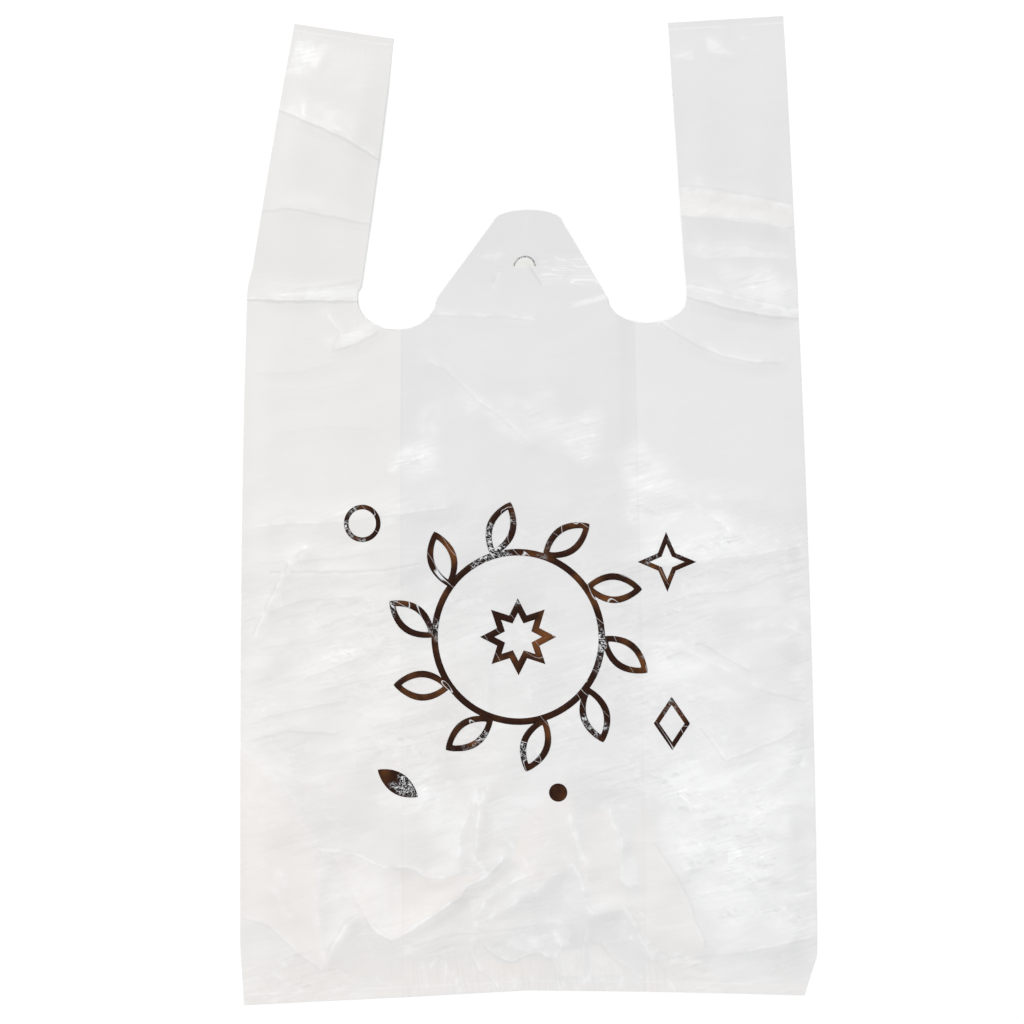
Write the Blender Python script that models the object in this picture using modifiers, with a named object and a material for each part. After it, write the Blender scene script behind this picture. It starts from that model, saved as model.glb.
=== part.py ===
"""A gusseted carrier bag of thin film, empty and lying flat on its back.

The bag is made here the way the real one is: a film tube is folded flat with a gusset at each side,
welded across the bottom and across the top of each handle, and die cut to open the mouth. The
film then lies on a table, where it creases. The seat is z = 0, the handles point along +Y and
the printed front faces +Z. Units are metres.

Flat film has two coordinates: u across the bag from its middle, and v along it from the cut
bottom edge. Layers are counted from the table: 0 back panel, 1 and 2 the gusset, 3 front panel.
"""
import math

import bmesh
import bpy
import numpy as np
from mathutils import Vector
from mathutils.bvhtree import BVHTree

# The film and how its layers lie
FILM_THICKNESS = 0.00002
FILM_COLOUR = (0.80, 0.80, 0.79)
FILM_ROUGHNESS = 0.30
BAG_WIDTH = 0.300
BAG_LENGTH = 0.509
GUSSET_DEPTH = 0.084
LAYER_PITCH = 0.00045
EDGE_PITCH = 0.0002
SETTLE_LENGTH = 0.026
PANEL_DROP = 0.012
PANEL_DROP_END = 0.001
FOLD_PRESSED = 0.0005
FOLD_FREE = 0.016

# The welds
WELD_PITCH = 0.00006
WELD_WIDTH = 0.0014
BOTTOM_WELD_INSET = 0.0050
HANDLE_WELD_INSET = 0.0035
WELD_END_GAP = 0.0003

# The die that cuts the mouth
HANDLE_WIDTH = 0.060
HANDLE_LENGTH = 0.146
NOTCH_WIDTH = 0.0435
LEFT_NOTCH_DEPTH = 0.0165
RIGHT_NOTCH_DEPTH = 0.0130
TAB_HEIGHT = 0.046
TAB_TOP_WIDTH = 0.037
TAB_CROWN = 0.006

# The hanging slit
SLIT_RADIUS = 0.0058
SLIT_WIDTH = 0.0009
SLIT_SWEEP = math.radians(165)
SLIT_RISE = 0.016
SLIT_STEPS = 12
DIE_REACH = 0.020

# How the bag lies on the table
LEFT_DRAWN_IN = 0.0036
LEFT_DRAWN_CURVE = 3.5
RIGHT_DRAWN_IN = 0.0102
RIGHT_DRAWN_CURVE = 1.7
LEFT_HANDLE_LEAN = math.radians(-8.6)
RIGHT_HANDLE_LEAN = math.radians(3.4)
LEFT_HANDLE_DRAWN_DOWN = 0.005
LEFT_HANDLE_GATHER = 0.083
RIGHT_HANDLE_SPREAD = 0.045
HANDLE_BEND = 0.018
TAB_LEAN = math.radians(-4.0)
BOTTOM_LINE = (-0.0046, -0.0005, 0.0032, 0.0024, 0.0005)
BOTTOM_LINE_FADE = 0.150
CORNER_TUCK = 0.0065
CORNER_TUCK_HEIGHT = 0.021
CORNER_TUCK_WIDTH = 0.036
LEFT_TUCK = 0.0019
LEFT_TUCK_HEIGHT = 0.030

# The mesh of the film
PANEL_COLUMN = 0.0100
LOWER_ROW = 0.0126
UPPER_ROW = 0.0180
LOWER_HEIGHT = 0.250
SHOULDER = 0.045
SHOULDER_ROWS = 5
NOTCH_COLUMNS = 8
CROWN_COLUMNS = 3
FLAT_ANGLE = math.radians(0.1)

# Creases of the front panel as it lies, each a ridge along a straight run: the x and y of its
# start, the x and y of its end, its height and its half width
CREASES = (
    (-0.131, 0.210, -0.077, 0.182, 0.0016, 0.012),
    (-0.143, 0.155, -0.081, 0.151, 0.0014, 0.011),
    (-0.148, 0.112, -0.088, 0.109, 0.0020, 0.011),
    (0.079, 0.169, 0.136, 0.159, 0.0015, 0.011),
    (0.079, 0.154, 0.138, 0.148, 0.0013, 0.010),
    (0.083, 0.119, 0.140, 0.104, 0.0020, 0.011),
    (0.074, 0.099, 0.110, 0.080, 0.0016, 0.011),
    (0.110, 0.080, 0.143, 0.078, 0.0014, 0.011),
    (-0.020, 0.122, 0.026, 0.140, 0.0014, 0.009),
    (-0.147, -0.010, -0.030, 0.011, 0.0022, 0.014),
    (0.058, -0.026, 0.142, -0.017, 0.0020, 0.014),
    (0.058, 0.004, 0.090, -0.006, 0.0016, 0.014),
    (-0.141, -0.064, -0.118, -0.023, 0.0018, 0.011),
    (-0.145, -0.041, -0.062, -0.034, 0.0014, 0.012),
    (-0.114, -0.085, -0.082, -0.075, 0.0016, 0.010),
    (-0.103, -0.174, -0.072, -0.186, 0.0024, 0.011),
    (-0.114, -0.223, -0.095, -0.210, 0.0024, 0.010),
    (-0.089, -0.211, -0.070, -0.223, 0.0022, 0.010),
    (-0.070, -0.223, -0.038, -0.200, 0.0024, 0.011),
    (-0.108, -0.192, -0.109, -0.234, 0.0024, 0.011),
    (-0.031, -0.145, -0.030, -0.187, 0.0026, 0.011),
    (-0.018, -0.150, -0.002, -0.206, 0.0022, 0.011),
    (0.063, -0.122, 0.141, -0.130, 0.0028, 0.012),
    (0.068, -0.150, 0.136, -0.171, 0.0030, 0.012),
    (0.089, -0.202, 0.144, -0.187, 0.0026, 0.012),
    (0.016, -0.182, 0.037, -0.209, 0.0026, 0.011),
    (0.048, -0.187, 0.084, -0.232, 0.0028, 0.012),
)
RIDGE_POWER = 1.5

# The long waves over the whole front, and the shorter ones of its crumpled lower half
BILLOW = 0.0010
BILLOW_LENGTH = 0.170
BILLOW_SLANT = 0.24
CRUMPLE = 0.0011
CRUMPLE_LENGTH = 0.058
CRUMPLE_SLANTS = (0.35, 0.55)
CRUMPLE_SHIFT = 1.1
CRUMPLE_FULL = -0.060
CRUMPLE_END = 0.020

# The print: its ink, then the wreath with a sun inside it, then the small shapes round them
INK_THICKNESS = 0.00002
INK_COLOUR = (0.028, 0.011, 0.007)
INK_ROUGHNESS = 0.35
INK_GAP = 0.0003
INK_STROKE = 0.0034
FINE_STROKE = 0.0024
INK_DICE = 0.0110
SMALL_INK_DICE = 0.0060
INK_MERGE = 0.00008
INK_REACH = 0.0010
WREATH_PLACE = (-0.004, 0.187)
WREATH_RADIUS = 0.044
WREATH_LEAVES = 10
LEAF_LENGTH = 0.030
LEAF_WIDTH = 0.0155
LEAF_SLANT = math.radians(52)
LEAF_WALL = 0.0042
LEAF_STEPS = 5
RING_STEPS = 28
SUN_REACH = 0.020
SUN_WAIST = 0.012
SUN_RAYS = 8
STAR_PLACE = (0.075, 0.226)
STAR_REACH = 0.0155
STAR_WAIST = 0.0065
STAR_POINTS = 4
HOOP_PLACE = (-0.086, 0.246)
HOOP_RADIUS = 0.0085
HOOP_STEPS = 18
SPRIG_PLACE = (-0.078, 0.118)
SPRIG_LENGTH = 0.025
SPRIG_WIDTH = 0.011
SPRIG_TURN = math.radians(-34)
DOT_PLACE = (0.016, 0.106)
DOT_RADIUS = 0.0048
DOT_STEPS = 14
DIAMOND_PLACE = (0.076, 0.142)
DIAMOND_REACH = 0.0140
DIAMOND_WAIST = 0.0095

HALF_WIDTH = BAG_WIDTH / 2
INNER_FOLD = HALF_WIDTH - GUSSET_DEPTH
HANDLE_INNER = HALF_WIDTH - HANDLE_WIDTH
HANDLE_BASE = BAG_LENGTH - HANDLE_LENGTH


def new_collection(name):
    collection = bpy.data.collections.new(name)
    bpy.context.scene.collection.children.link(collection)
    return collection


def new_material(name, colour, roughness):
    """A plain coat with its colour, as linear red, green and blue, and its roughness."""
    material = bpy.data.materials.new(name)
    material.use_nodes = True
    shader = material.node_tree.nodes["Principled BSDF"]
    shader.inputs["Base Color"].default_value = (*colour, 1.0)
    shader.inputs["Roughness"].default_value = roughness
    shader.inputs["Metallic"].default_value = 0.0
    return material


def new_object(name, mesh, collection, material=None):
    piece = bpy.data.objects.new(name, mesh)
    collection.objects.link(piece)
    if material:
        mesh.materials.append(material)
    return piece


def make_cutter(piece):
    piece.hide_render = True
    piece.display_type = "WIRE"


def ramp(value, start, end):
    """0 up to start and 1 from end on, with a smooth rise between them."""
    share = np.clip((value - start) / (end - start), 0.0, 1.0)
    return share * share * (3 - 2 * share)


def evenly(start, end, step):
    """Points from start to end, both included, about a step apart."""
    count = max(1, round(abs(end - start) / step))
    return np.linspace(start, end, count + 1)


def read_points(mesh):
    points = np.empty(len(mesh.vertices) * 3)
    mesh.vertices.foreach_get("co", points)
    return points.reshape(-1, 3)


def write_points(mesh, points):
    mesh.vertices.foreach_set("co", points.ravel())
    mesh.update()


def turn(u, v, centre_u, centre_v, angle):
    """Turn points about a centre, by an angle that may differ from point to point."""
    across = u - centre_u
    along = v - centre_v
    cos = np.cos(angle)
    sin = np.sin(angle)
    return centre_u + across * cos - along * sin, centre_v + across * sin + along * cos


def on_table(u, v):
    """Where a point of the flat film lies on the table, seen from above."""
    share = 0.5 + u / BAG_WIDTH
    height = np.clip(v / HANDLE_BASE, 0.0, 1.0)
    tuck = CORNER_TUCK * np.clip(1 - v / CORNER_TUCK_HEIGHT, 0.0, 1.0)
    tuck = tuck * ramp(u, HALF_WIDTH - CORNER_TUCK_WIDTH, HALF_WIDTH)
    left = LEFT_DRAWN_IN * height**LEFT_DRAWN_CURVE
    right = RIGHT_DRAWN_IN * height**RIGHT_DRAWN_CURVE
    left_tuck = LEFT_TUCK * np.clip(1 - v / LEFT_TUCK_HEIGHT, 0.0, 1.0)
    left_tuck = left_tuck * ramp(-u, HALF_WIDTH - CORNER_TUCK_WIDTH, HALF_WIDTH)
    across = u + left * (1 - share) - right * share + left_tuck - tuck

    near_bottom = np.clip(1 - v / BOTTOM_LINE_FADE, 0.0, 1.0) ** 2
    folds = (-HALF_WIDTH, -INNER_FOLD, 0.0, INNER_FOLD, HALF_WIDTH)
    along = v + np.interp(u, folds, BOTTOM_LINE) * near_bottom

    bend = ramp(v, HANDLE_BASE, HANDLE_BASE + HANDLE_BEND)
    middle = HALF_WIDTH - HANDLE_WIDTH / 2
    above_base = np.clip(v - HANDLE_BASE, 0.0, None)
    handles = (
        (-1, LEFT_HANDLE_LEAN, LEFT_HANDLE_DRAWN_DOWN, LEFT_HANDLE_GATHER, 2),
        (1, RIGHT_HANDLE_LEAN, 0.0, -RIGHT_HANDLE_SPREAD, 1),
    )
    for side, lean, drawn, gather, curve in handles:
        weight = bend * (side * u > HANDLE_INNER - 1e-6)
        narrowed = gather * weight * (above_base / HANDLE_LENGTH) ** curve
        across = across - (u - side * middle) * narrowed
        across, along = turn(across, along, side * middle, HANDLE_BASE, lean * weight)
        along = along - drawn * weight
    on_tab = above_base * (abs(u) < HANDLE_INNER - 1e-6)
    return across - math.tan(TAB_LEAN) * on_tab, along - BAG_LENGTH / 2


def pitch(v):
    """The distance from one layer to the next, which closes to almost nothing at the welds."""
    bottom = BOTTOM_WELD_INSET
    top = BAG_LENGTH - HANDLE_WELD_INSET
    half = WELD_WIDTH
    heights = (0.0, bottom - half, bottom + half, bottom + SETTLE_LENGTH)
    heights += (top - SETTLE_LENGTH, top - half, top + half, BAG_LENGTH)
    pitches = (EDGE_PITCH, WELD_PITCH, WELD_PITCH, LAYER_PITCH)
    pitches += (LAYER_PITCH, WELD_PITCH, WELD_PITCH, EDGE_PITCH)
    return np.interp(v, heights, pitches)


def relief(x, y):
    """Height of the creases and waves of the front panel above its smooth level, never below 0."""
    height = np.zeros_like(x)
    for start_x, start_y, end_x, end_y, crest, half_width in CREASES:
        run_x = end_x - start_x
        run_y = end_y - start_y
        length = math.hypot(run_x, run_y)
        share = ((x - start_x) * run_x + (y - start_y) * run_y) / length**2
        away = abs((x - start_x) * run_y - (y - start_y) * run_x) / length
        past = np.clip(abs(share - 0.5) - 0.5, 0.0, None) * length
        away = np.hypot(away, past)
        ridge = crest * np.clip(1 - away / half_width, 0.0, 1.0) ** RIDGE_POWER
        height = np.maximum(height, ridge)
    wave = 0.5 + 0.5 * np.cos((y + BILLOW_SLANT * x) * 2 * math.pi / BILLOW_LENGTH)
    lower = 1 - ramp(y, CRUMPLE_FULL, CRUMPLE_END)
    wave_1 = np.sin((x + CRUMPLE_SLANTS[0] * y) * 2 * math.pi / CRUMPLE_LENGTH)
    wave_2 = np.sin((y - CRUMPLE_SLANTS[1] * x) * 2 * math.pi / CRUMPLE_LENGTH + CRUMPLE_SHIFT)
    crumple = (0.5 + 0.5 * wave_1 * wave_2) * lower
    return height + BILLOW * wave + CRUMPLE * crumple


def front_level(u, v):
    """Height of the front panel's middle surface: its layers, then its creases."""
    x, y = on_table(u, v)
    layers = 1 + 2 * ramp(abs(u), INNER_FOLD - PANEL_DROP, INNER_FOLD - PANEL_DROP_END)
    from_weld = np.minimum(v - BOTTOM_WELD_INSET, BAG_LENGTH - HANDLE_WELD_INSET - v)
    free = ramp(from_weld, WELD_WIDTH, SETTLE_LENGTH)
    free = free * ramp(HALF_WIDTH - abs(u), FOLD_PRESSED, FOLD_FREE)
    # Over the weld the middle of the front panel stays at the level of its sides, so that one
    # straight weld bar holds every layer.
    layers = np.where(free > 0, 3 + (layers - 3) * free, 3.0)
    return FILM_THICKNESS / 2 + layers * pitch(v) + relief(x, y) * free


def panel_columns(step):
    """Places u across a panel, from the left fold to the right, close where the die line curves."""
    notch_end = HANDLE_INNER - NOTCH_WIDTH
    half_top = TAB_TOP_WIDTH / 2
    notch_turn = np.linspace(0.0, math.pi, NOTCH_COLUMNS + 1)
    crown_turn = np.linspace(0.0, math.pi / 2, CROWN_COLUMNS + 1)
    half = np.concatenate(
        (
            evenly(HALF_WIDTH, HANDLE_INNER, step)[:-1],
            HANDLE_INNER - NOTCH_WIDTH / 2 * (1 - np.cos(notch_turn)),
            evenly(notch_end, half_top, step)[1:-1],
            half_top * np.cos(crown_turn),
        )
    )
    half[-1] = 0.0
    return np.concatenate((-half, half[-2::-1]))


def mouth_line(u):
    """Height v of the die's cut: round each notch, up the tab's slopes and over its crown."""
    away = abs(u)
    notch_end = HANDLE_INNER - NOTCH_WIDTH
    half_top = TAB_TOP_WIDTH / 2
    crown_base = HANDLE_BASE + TAB_HEIGHT - TAB_CROWN
    in_notch = np.clip((away - notch_end) / NOTCH_WIDTH * 2 - 1, -1.0, 1.0)
    depth = np.where(u < 0, LEFT_NOTCH_DEPTH, RIGHT_NOTCH_DEPTH)
    notch = HANDLE_BASE - depth * np.sqrt(1 - in_notch**2)
    slope = np.interp(away, (half_top, notch_end), (crown_base, HANDLE_BASE))
    crown = crown_base + TAB_CROWN * np.sqrt(1 - np.clip(away / half_top, 0.0, 1.0) ** 2)
    return np.where(away < half_top, crown, np.where(away < notch_end, slope, notch))


def fold_section():
    """The gusseted section as a closed path of columns: place u, layer, and step back from a fold.

    A fold has three columns: the end of one layer, the turn halfway between the layers, and the
    end of the next layer. The ends stand half a layer pitch back from the turn.
    """
    u = []
    layer = []
    back = []

    def run(places, at_layer):
        u.extend(places)
        layer.extend([at_layer] * len(places))
        back.extend([0] * len(places))

    def fold(at, from_layer, to_layer, direction):
        u.extend([at] * 3)
        layer.extend([from_layer, (from_layer + to_layer) / 2, to_layer])
        back.extend([direction, 0, direction])

    panel = panel_columns(PANEL_COLUMN)
    right_gusset = [place for place in panel[1:-1] if place > INNER_FOLD + PANEL_COLUMN / 4]
    left_gusset = [place for place in panel[1:-1] if place < -INNER_FOLD - PANEL_COLUMN / 4]
    run(panel[1:-1], 0)
    fold(HALF_WIDTH, 0, 1, -1)
    run(right_gusset[::-1], 1)
    fold(INNER_FOLD, 1, 2, 1)
    run(right_gusset, 2)
    fold(HALF_WIDTH, 2, 3, -1)
    run(panel[-2:0:-1], 3)
    fold(-HALF_WIDTH, 3, 2, 1)
    run(left_gusset, 2)
    fold(-INNER_FOLD, 2, 1, -1)
    run(left_gusset[::-1], 1)
    fold(-HALF_WIDTH, 1, 0, 1)
    return np.array(u), np.array(layer), np.array(back)


def body_rows():
    """Heights v of the rows under the shoulder: at each edge of the weld, then evenly."""
    bottom = BOTTOM_WELD_INSET
    settled = bottom + SETTLE_LENGTH
    foot = (0.0, bottom - WELD_WIDTH, bottom + WELD_WIDTH, bottom + SETTLE_LENGTH / 2)
    lower = evenly(settled, LOWER_HEIGHT, LOWER_ROW)
    upper = evenly(LOWER_HEIGHT, HANDLE_BASE - SHOULDER, UPPER_ROW)[1:]
    return np.concatenate((foot, lower, upper))


def handle_rows():
    """Heights v of the rows of the handles, above their base."""
    top = BAG_LENGTH - HANDLE_WELD_INSET
    settled = top - SETTLE_LENGTH
    head = (top - SETTLE_LENGTH / 2, top - WELD_WIDTH, top + WELD_WIDTH, BAG_LENGTH)
    return np.concatenate((evenly(HANDLE_BASE, settled, UPPER_ROW)[1:], head))


def make_film_sheet(name, collection, material):
    """The film's middle surface: a grid wrapped round the folded section and laid on the table."""
    u, layer, back = fold_section()
    body = body_rows()
    handle = handle_rows()
    columns = len(u)
    shoulder_share = np.linspace(0.0, 1.0, SHOULDER_ROWS + 1)[1:]
    rows = len(body) + len(shoulder_share) + len(handle)
    mouth_row = len(body) + len(shoulder_share) - 1

    shape = bmesh.new()
    bmesh.ops.create_grid(shape, x_segments=columns, y_segments=rows - 1, size=1.0)
    mesh = bpy.data.meshes.new(name)
    shape.to_mesh(mesh)
    unit = read_points(mesh)
    column = np.rint((unit[:, 0] + 1) / 2 * columns).astype(int) % columns
    row = np.rint((unit[:, 1] + 1) / 2 * (rows - 1)).astype(int)

    mouth = mouth_line(u)
    start = HANDLE_BASE - SHOULDER
    shoulder = start + shoulder_share[:, None] * (mouth - start)
    heights = np.concatenate(
        (np.tile(body[:, None], columns), shoulder, np.tile(handle[:, None], columns))
    )
    along = heights[row, column]
    across = u[column] + back[column] * pitch(along) / 2
    level = FILM_THICKNESS / 2 + layer[column] * pitch(along)
    level = np.where(layer[column] == 3, front_level(across, along), level)
    x, y = on_table(across, along)

    shape.verts.ensure_lookup_table()
    for vertex, place in zip(shape.verts, np.stack((x, y, level), axis=1)):
        vertex.co = place
    off_handle = abs(u) < HANDLE_INNER - 1e-6
    cut_away = [
        face
        for face in shape.faces
        if min(row[vertex.index] for vertex in face.verts) >= mouth_row
        and any(off_handle[column[vertex.index]] for vertex in face.verts)
    ]
    bmesh.ops.delete(shape, geom=cut_away, context="FACES")
    bmesh.ops.remove_doubles(shape, verts=shape.verts, dist=1e-7)
    bmesh.ops.dissolve_limit(
        shape, angle_limit=FLAT_ANGLE, verts=shape.verts, edges=shape.edges, use_dissolve_boundaries=False
    )
    bmesh.ops.triangulate(shape, faces=shape.faces)
    bmesh.ops.recalc_face_normals(shape, faces=shape.faces)
    shape.to_mesh(mesh)
    shape.free()
    return new_object(name, mesh, collection, material)


def seen_mesh(piece):
    """The piece's mesh as its modifiers leave it."""
    depsgraph = bpy.context.evaluated_depsgraph_get()
    return bpy.data.meshes.new_from_object(piece.evaluated_get(depsgraph))


def laid(outline):
    """An outline of the flat film as the film lies on the table."""
    u, v = np.array(outline).T
    return list(zip(*on_table(u, v)))


def prism(name, outlines, low, high, collection):
    """Closed outlines raised from low to high; an outline inside another is a hole."""
    curve = bpy.data.curves.new(name, "CURVE")
    curve.dimensions = "2D"
    curve.fill_mode = "BOTH"
    curve.extrude = (high - low) / 2
    for outline in outlines:
        spline = curve.splines.new("POLY")
        spline.points.add(len(outline) - 1)
        for point, (x, y) in zip(spline.points, outline):
            point.co = (x, y, 0.0, 1.0)
        spline.use_cyclic_u = True
    drawn = bpy.data.objects.new(name, curve)
    collection.objects.link(drawn)
    mesh = seen_mesh(drawn)
    bpy.data.objects.remove(drawn)
    shape = bmesh.new()
    shape.from_mesh(mesh)
    bmesh.ops.remove_doubles(shape, verts=shape.verts, dist=1e-6)
    bmesh.ops.translate(shape, verts=shape.verts, vec=(0.0, 0.0, (high + low) / 2))
    bmesh.ops.recalc_face_normals(shape, faces=shape.faces)
    shape.to_mesh(mesh)
    shape.free()
    piece = new_object(name, mesh, collection)
    make_cutter(piece)
    return piece


def weld_bar(name, start, end, v, collection):
    """The melted strip of a weld, which fills the film's layers from the lowest to the highest."""
    half = WELD_WIDTH / 2
    line = evenly(start, end, PANEL_COLUMN)
    outline = [(u, v - half) for u in line] + [(u, v + half) for u in reversed(line)]
    low = FILM_THICKNESS / 2
    return prism(name, [laid(outline)], low, low + 3 * WELD_PITCH, collection)


def slit_outline():
    """A narrow band along an arc, open towards the bottom of the bag."""
    angles = np.linspace(math.pi / 2 - SLIT_SWEEP / 2, math.pi / 2 + SLIT_SWEEP / 2, SLIT_STEPS + 1)
    middle = HANDLE_BASE + SLIT_RISE
    outer = SLIT_RADIUS + SLIT_WIDTH / 2
    inner = SLIT_RADIUS - SLIT_WIDTH / 2
    band = [(outer * math.cos(a), middle + outer * math.sin(a)) for a in angles]
    return band + [(inner * math.cos(a), middle + inner * math.sin(a)) for a in reversed(angles)]


def add_boolean(piece, other, operation, solver="EXACT"):
    modifier = piece.modifiers.new(other.name, "BOOLEAN")
    modifier.operation = operation
    modifier.solver = solver
    modifier.object = other


def add_thickness(piece, thickness):
    modifier = piece.modifiers.new("thickness", "SOLIDIFY")
    modifier.thickness = thickness
    modifier.offset = 0.0
    modifier.use_even_offset = True
    modifier.use_rim = True


def make_film(collection, cutters):
    material = new_material("milky_film", FILM_COLOUR, FILM_ROUGHNESS)
    film = make_film_sheet("bag_film", collection, material)
    add_thickness(film, FILM_THICKNESS)
    end = HALF_WIDTH - WELD_END_GAP
    top = BAG_LENGTH - HANDLE_WELD_INSET
    inside = HANDLE_INNER + WELD_END_GAP
    welds = (
        weld_bar("bottom_weld", -end, end, BOTTOM_WELD_INSET, cutters),
        weld_bar("left_handle_weld", -end, -inside, top, cutters),
        weld_bar("right_handle_weld", inside, end, top, cutters),
    )
    for weld in welds:
        add_boolean(film, weld, "UNION", "MANIFOLD")
    slit = prism("slit_die", [laid(slit_outline())], -DIE_REACH, DIE_REACH, cutters)
    add_boolean(film, slit, "DIFFERENCE", "MANIFOLD")
    return film


def almond(place, angle, length, width):
    """A leaf's outline from its foot: a pair of arcs that meet at each end."""
    u, v = place
    share = np.linspace(0.0, 1.0, LEAF_STEPS + 1)
    side = width / 2 * np.sin(math.pi * share) ** 0.8
    along = np.concatenate((length * share, length * share[-2:0:-1]))
    across = np.concatenate((side, -side[-2:0:-1]))
    return list(zip(*turn(u + across, v + along, u, v, angle)))


def circle(place, radius, steps):
    angles = np.linspace(0.0, 2 * math.pi, steps, endpoint=False)
    return [(place[0] + radius * math.cos(a), place[1] + radius * math.sin(a)) for a in angles]


def ring(place, radius, stroke, steps):
    """The two edges of a stroke along a circle."""
    return [circle(place, radius + stroke / 2, steps), circle(place, radius - stroke / 2, steps)]


def star(place, reach, waist, points):
    """A pointed star, with its tips at reach from the middle and the notches between them at waist."""
    outline = []
    for i in range(2 * points):
        radius = reach if i % 2 == 0 else waist
        angle = math.pi * i / points + math.pi / 2
        outline.append((place[0] + radius * math.cos(angle), place[1] + radius * math.sin(angle)))
    return outline


def star_line(place, reach, waist, points, stroke):
    """A star drawn as a line: its outline, and the same outline moved in by the stroke.

    Every side of a star is as far from its middle, so moving the sides in is a change of scale.
    """
    half_turn = math.pi / points
    side = math.sqrt(reach**2 + waist**2 - 2 * reach * waist * math.cos(half_turn))
    side_away = reach * waist * math.sin(half_turn) / side
    inner = 1 - stroke / side_away
    return [star(place, reach, waist, points), star(place, reach * inner, waist * inner, points)]


def wreath_leaves():
    """Leaves drawn as lines, which stand round the outside of the stem and all lean one way."""
    outlines = []
    for i in range(WREATH_LEAVES):
        around = 2 * math.pi * i / WREATH_LEAVES
        foot_u = WREATH_PLACE[0] + WREATH_RADIUS * math.cos(around)
        foot_v = WREATH_PLACE[1] + WREATH_RADIUS * math.sin(around)
        angle = around - math.pi / 2 + LEAF_SLANT
        inner_foot = (foot_u - math.sin(angle) * LEAF_WALL, foot_v + math.cos(angle) * LEAF_WALL)
        inner_length = LEAF_LENGTH - 2 * LEAF_WALL
        inner_width = LEAF_WIDTH - 2 * INK_STROKE
        outlines.append(almond((foot_u, foot_v), angle, LEAF_LENGTH, LEAF_WIDTH))
        outlines.append(almond(inner_foot, angle, inner_length, inner_width))
    return outlines


def highest_film(film_top, x, y):
    """The film's greatest height within INK_REACH of each place, so that ink clears the ridges."""
    down = Vector((0.0, 0.0, -1.0))
    around = ((0.0, 0.0), (INK_REACH, 0.0), (-INK_REACH, 0.0), (0.0, INK_REACH), (0.0, -INK_REACH))
    return np.array(
        [
            max(film_top.ray_cast(Vector((a + i, b + j, 1.0)), down)[0].z for i, j in around)
            for a, b in zip(x, y)
        ]
    )


def ink_shape(name, outline_groups, dice, film_top, collection, material):
    """Join flat outlines, lay the drawing on the film just above it, and give it its thickness.

    Each group of outlines is one drawn shape, in which an outline inside another is a hole.
    """
    prisms = [
        prism(f"{name}_{i}", group, -INK_THICKNESS, INK_THICKNESS, collection)
        for i, group in enumerate(outline_groups)
    ]
    first = prisms[0]
    for other in prisms[1:]:
        add_boolean(first, other, "UNION")
    mesh = seen_mesh(first)
    for piece in prisms:
        bpy.data.objects.remove(piece)

    shape = bmesh.new()
    shape.from_mesh(mesh)
    below = [face for face in shape.faces if face.normal.z < 0.5]
    bmesh.ops.delete(shape, geom=below, context="FACES")
    for axis, extent in ((0, HALF_WIDTH), (1, BAG_LENGTH)):
        normal = Vector((1.0, 0.0, 0.0)) if axis == 0 else Vector((0.0, 1.0, 0.0))
        for place in evenly(-extent, extent, dice):
            everything = shape.verts[:] + shape.edges[:] + shape.faces[:]
            bmesh.ops.bisect_plane(shape, geom=everything, plane_co=normal * place, plane_no=normal)
    bmesh.ops.remove_doubles(shape, verts=shape.verts, dist=INK_MERGE)
    bmesh.ops.triangulate(shape, faces=shape.faces)
    shape.to_mesh(mesh)
    shape.free()

    points = read_points(mesh)
    x, y = on_table(points[:, 0], points[:, 1])
    z = highest_film(film_top, x, y) + INK_GAP + INK_THICKNESS / 2
    write_points(mesh, np.stack((x, y, z), axis=1))
    mesh.name = name
    piece = new_object(name, mesh, collection, material)
    add_thickness(piece, INK_THICKNESS)
    return piece


def mesh_faces(mesh):
    return [vertex.co for vertex in mesh.vertices], [tuple(face.vertices) for face in mesh.polygons]


def small_prints():
    """The sun in the wreath and the small shapes round it: a name and the outlines of each."""
    return (
        ("print_sun", star_line(WREATH_PLACE, SUN_REACH, SUN_WAIST, SUN_RAYS, INK_STROKE)),
        ("print_star", star_line(STAR_PLACE, STAR_REACH, STAR_WAIST, STAR_POINTS, FINE_STROKE)),
        ("print_hoop", ring(HOOP_PLACE, HOOP_RADIUS, FINE_STROKE, HOOP_STEPS)),
        ("print_sprig", [almond(SPRIG_PLACE, SPRIG_TURN, SPRIG_LENGTH, SPRIG_WIDTH)]),
        ("print_dot", [circle(DOT_PLACE, DOT_RADIUS, DOT_STEPS)]),
        ("print_diamond", star_line(DIAMOND_PLACE, DIAMOND_REACH, DIAMOND_WAIST, 2, FINE_STROKE)),
    )


def make_print(film, collection):
    ink = new_material("dark_brown_ink", INK_COLOUR, INK_ROUGHNESS)
    film_top = BVHTree.FromPolygons(*mesh_faces(seen_mesh(film)))
    stem = ring(WREATH_PLACE, WREATH_RADIUS, INK_STROKE, RING_STEPS)
    ink_shape("print_wreath", [stem, wreath_leaves()], INK_DICE, film_top, collection, ink)
    for name, outlines in small_prints():
        ink_shape(name, [outlines], SMALL_INK_DICE, film_top, collection, ink)


def main():
    for leftover in list(bpy.data.objects):
        bpy.data.objects.remove(leftover)
    bag = new_collection("carrier_bag")
    cutters = new_collection("cutters")
    film = make_film(bag, cutters)
    make_print(film, bag)

    place = bpy.data.objects.new("place_on_table", None)
    bag.objects.link(place)
    points = read_points(film.data)
    middle = (points.min(axis=0) + points.max(axis=0)) / 2
    place.location = (-middle[0], -middle[1], 0.0)
    for piece in bpy.data.objects:
        if piece is not place:
            piece.parent = place


main()
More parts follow.
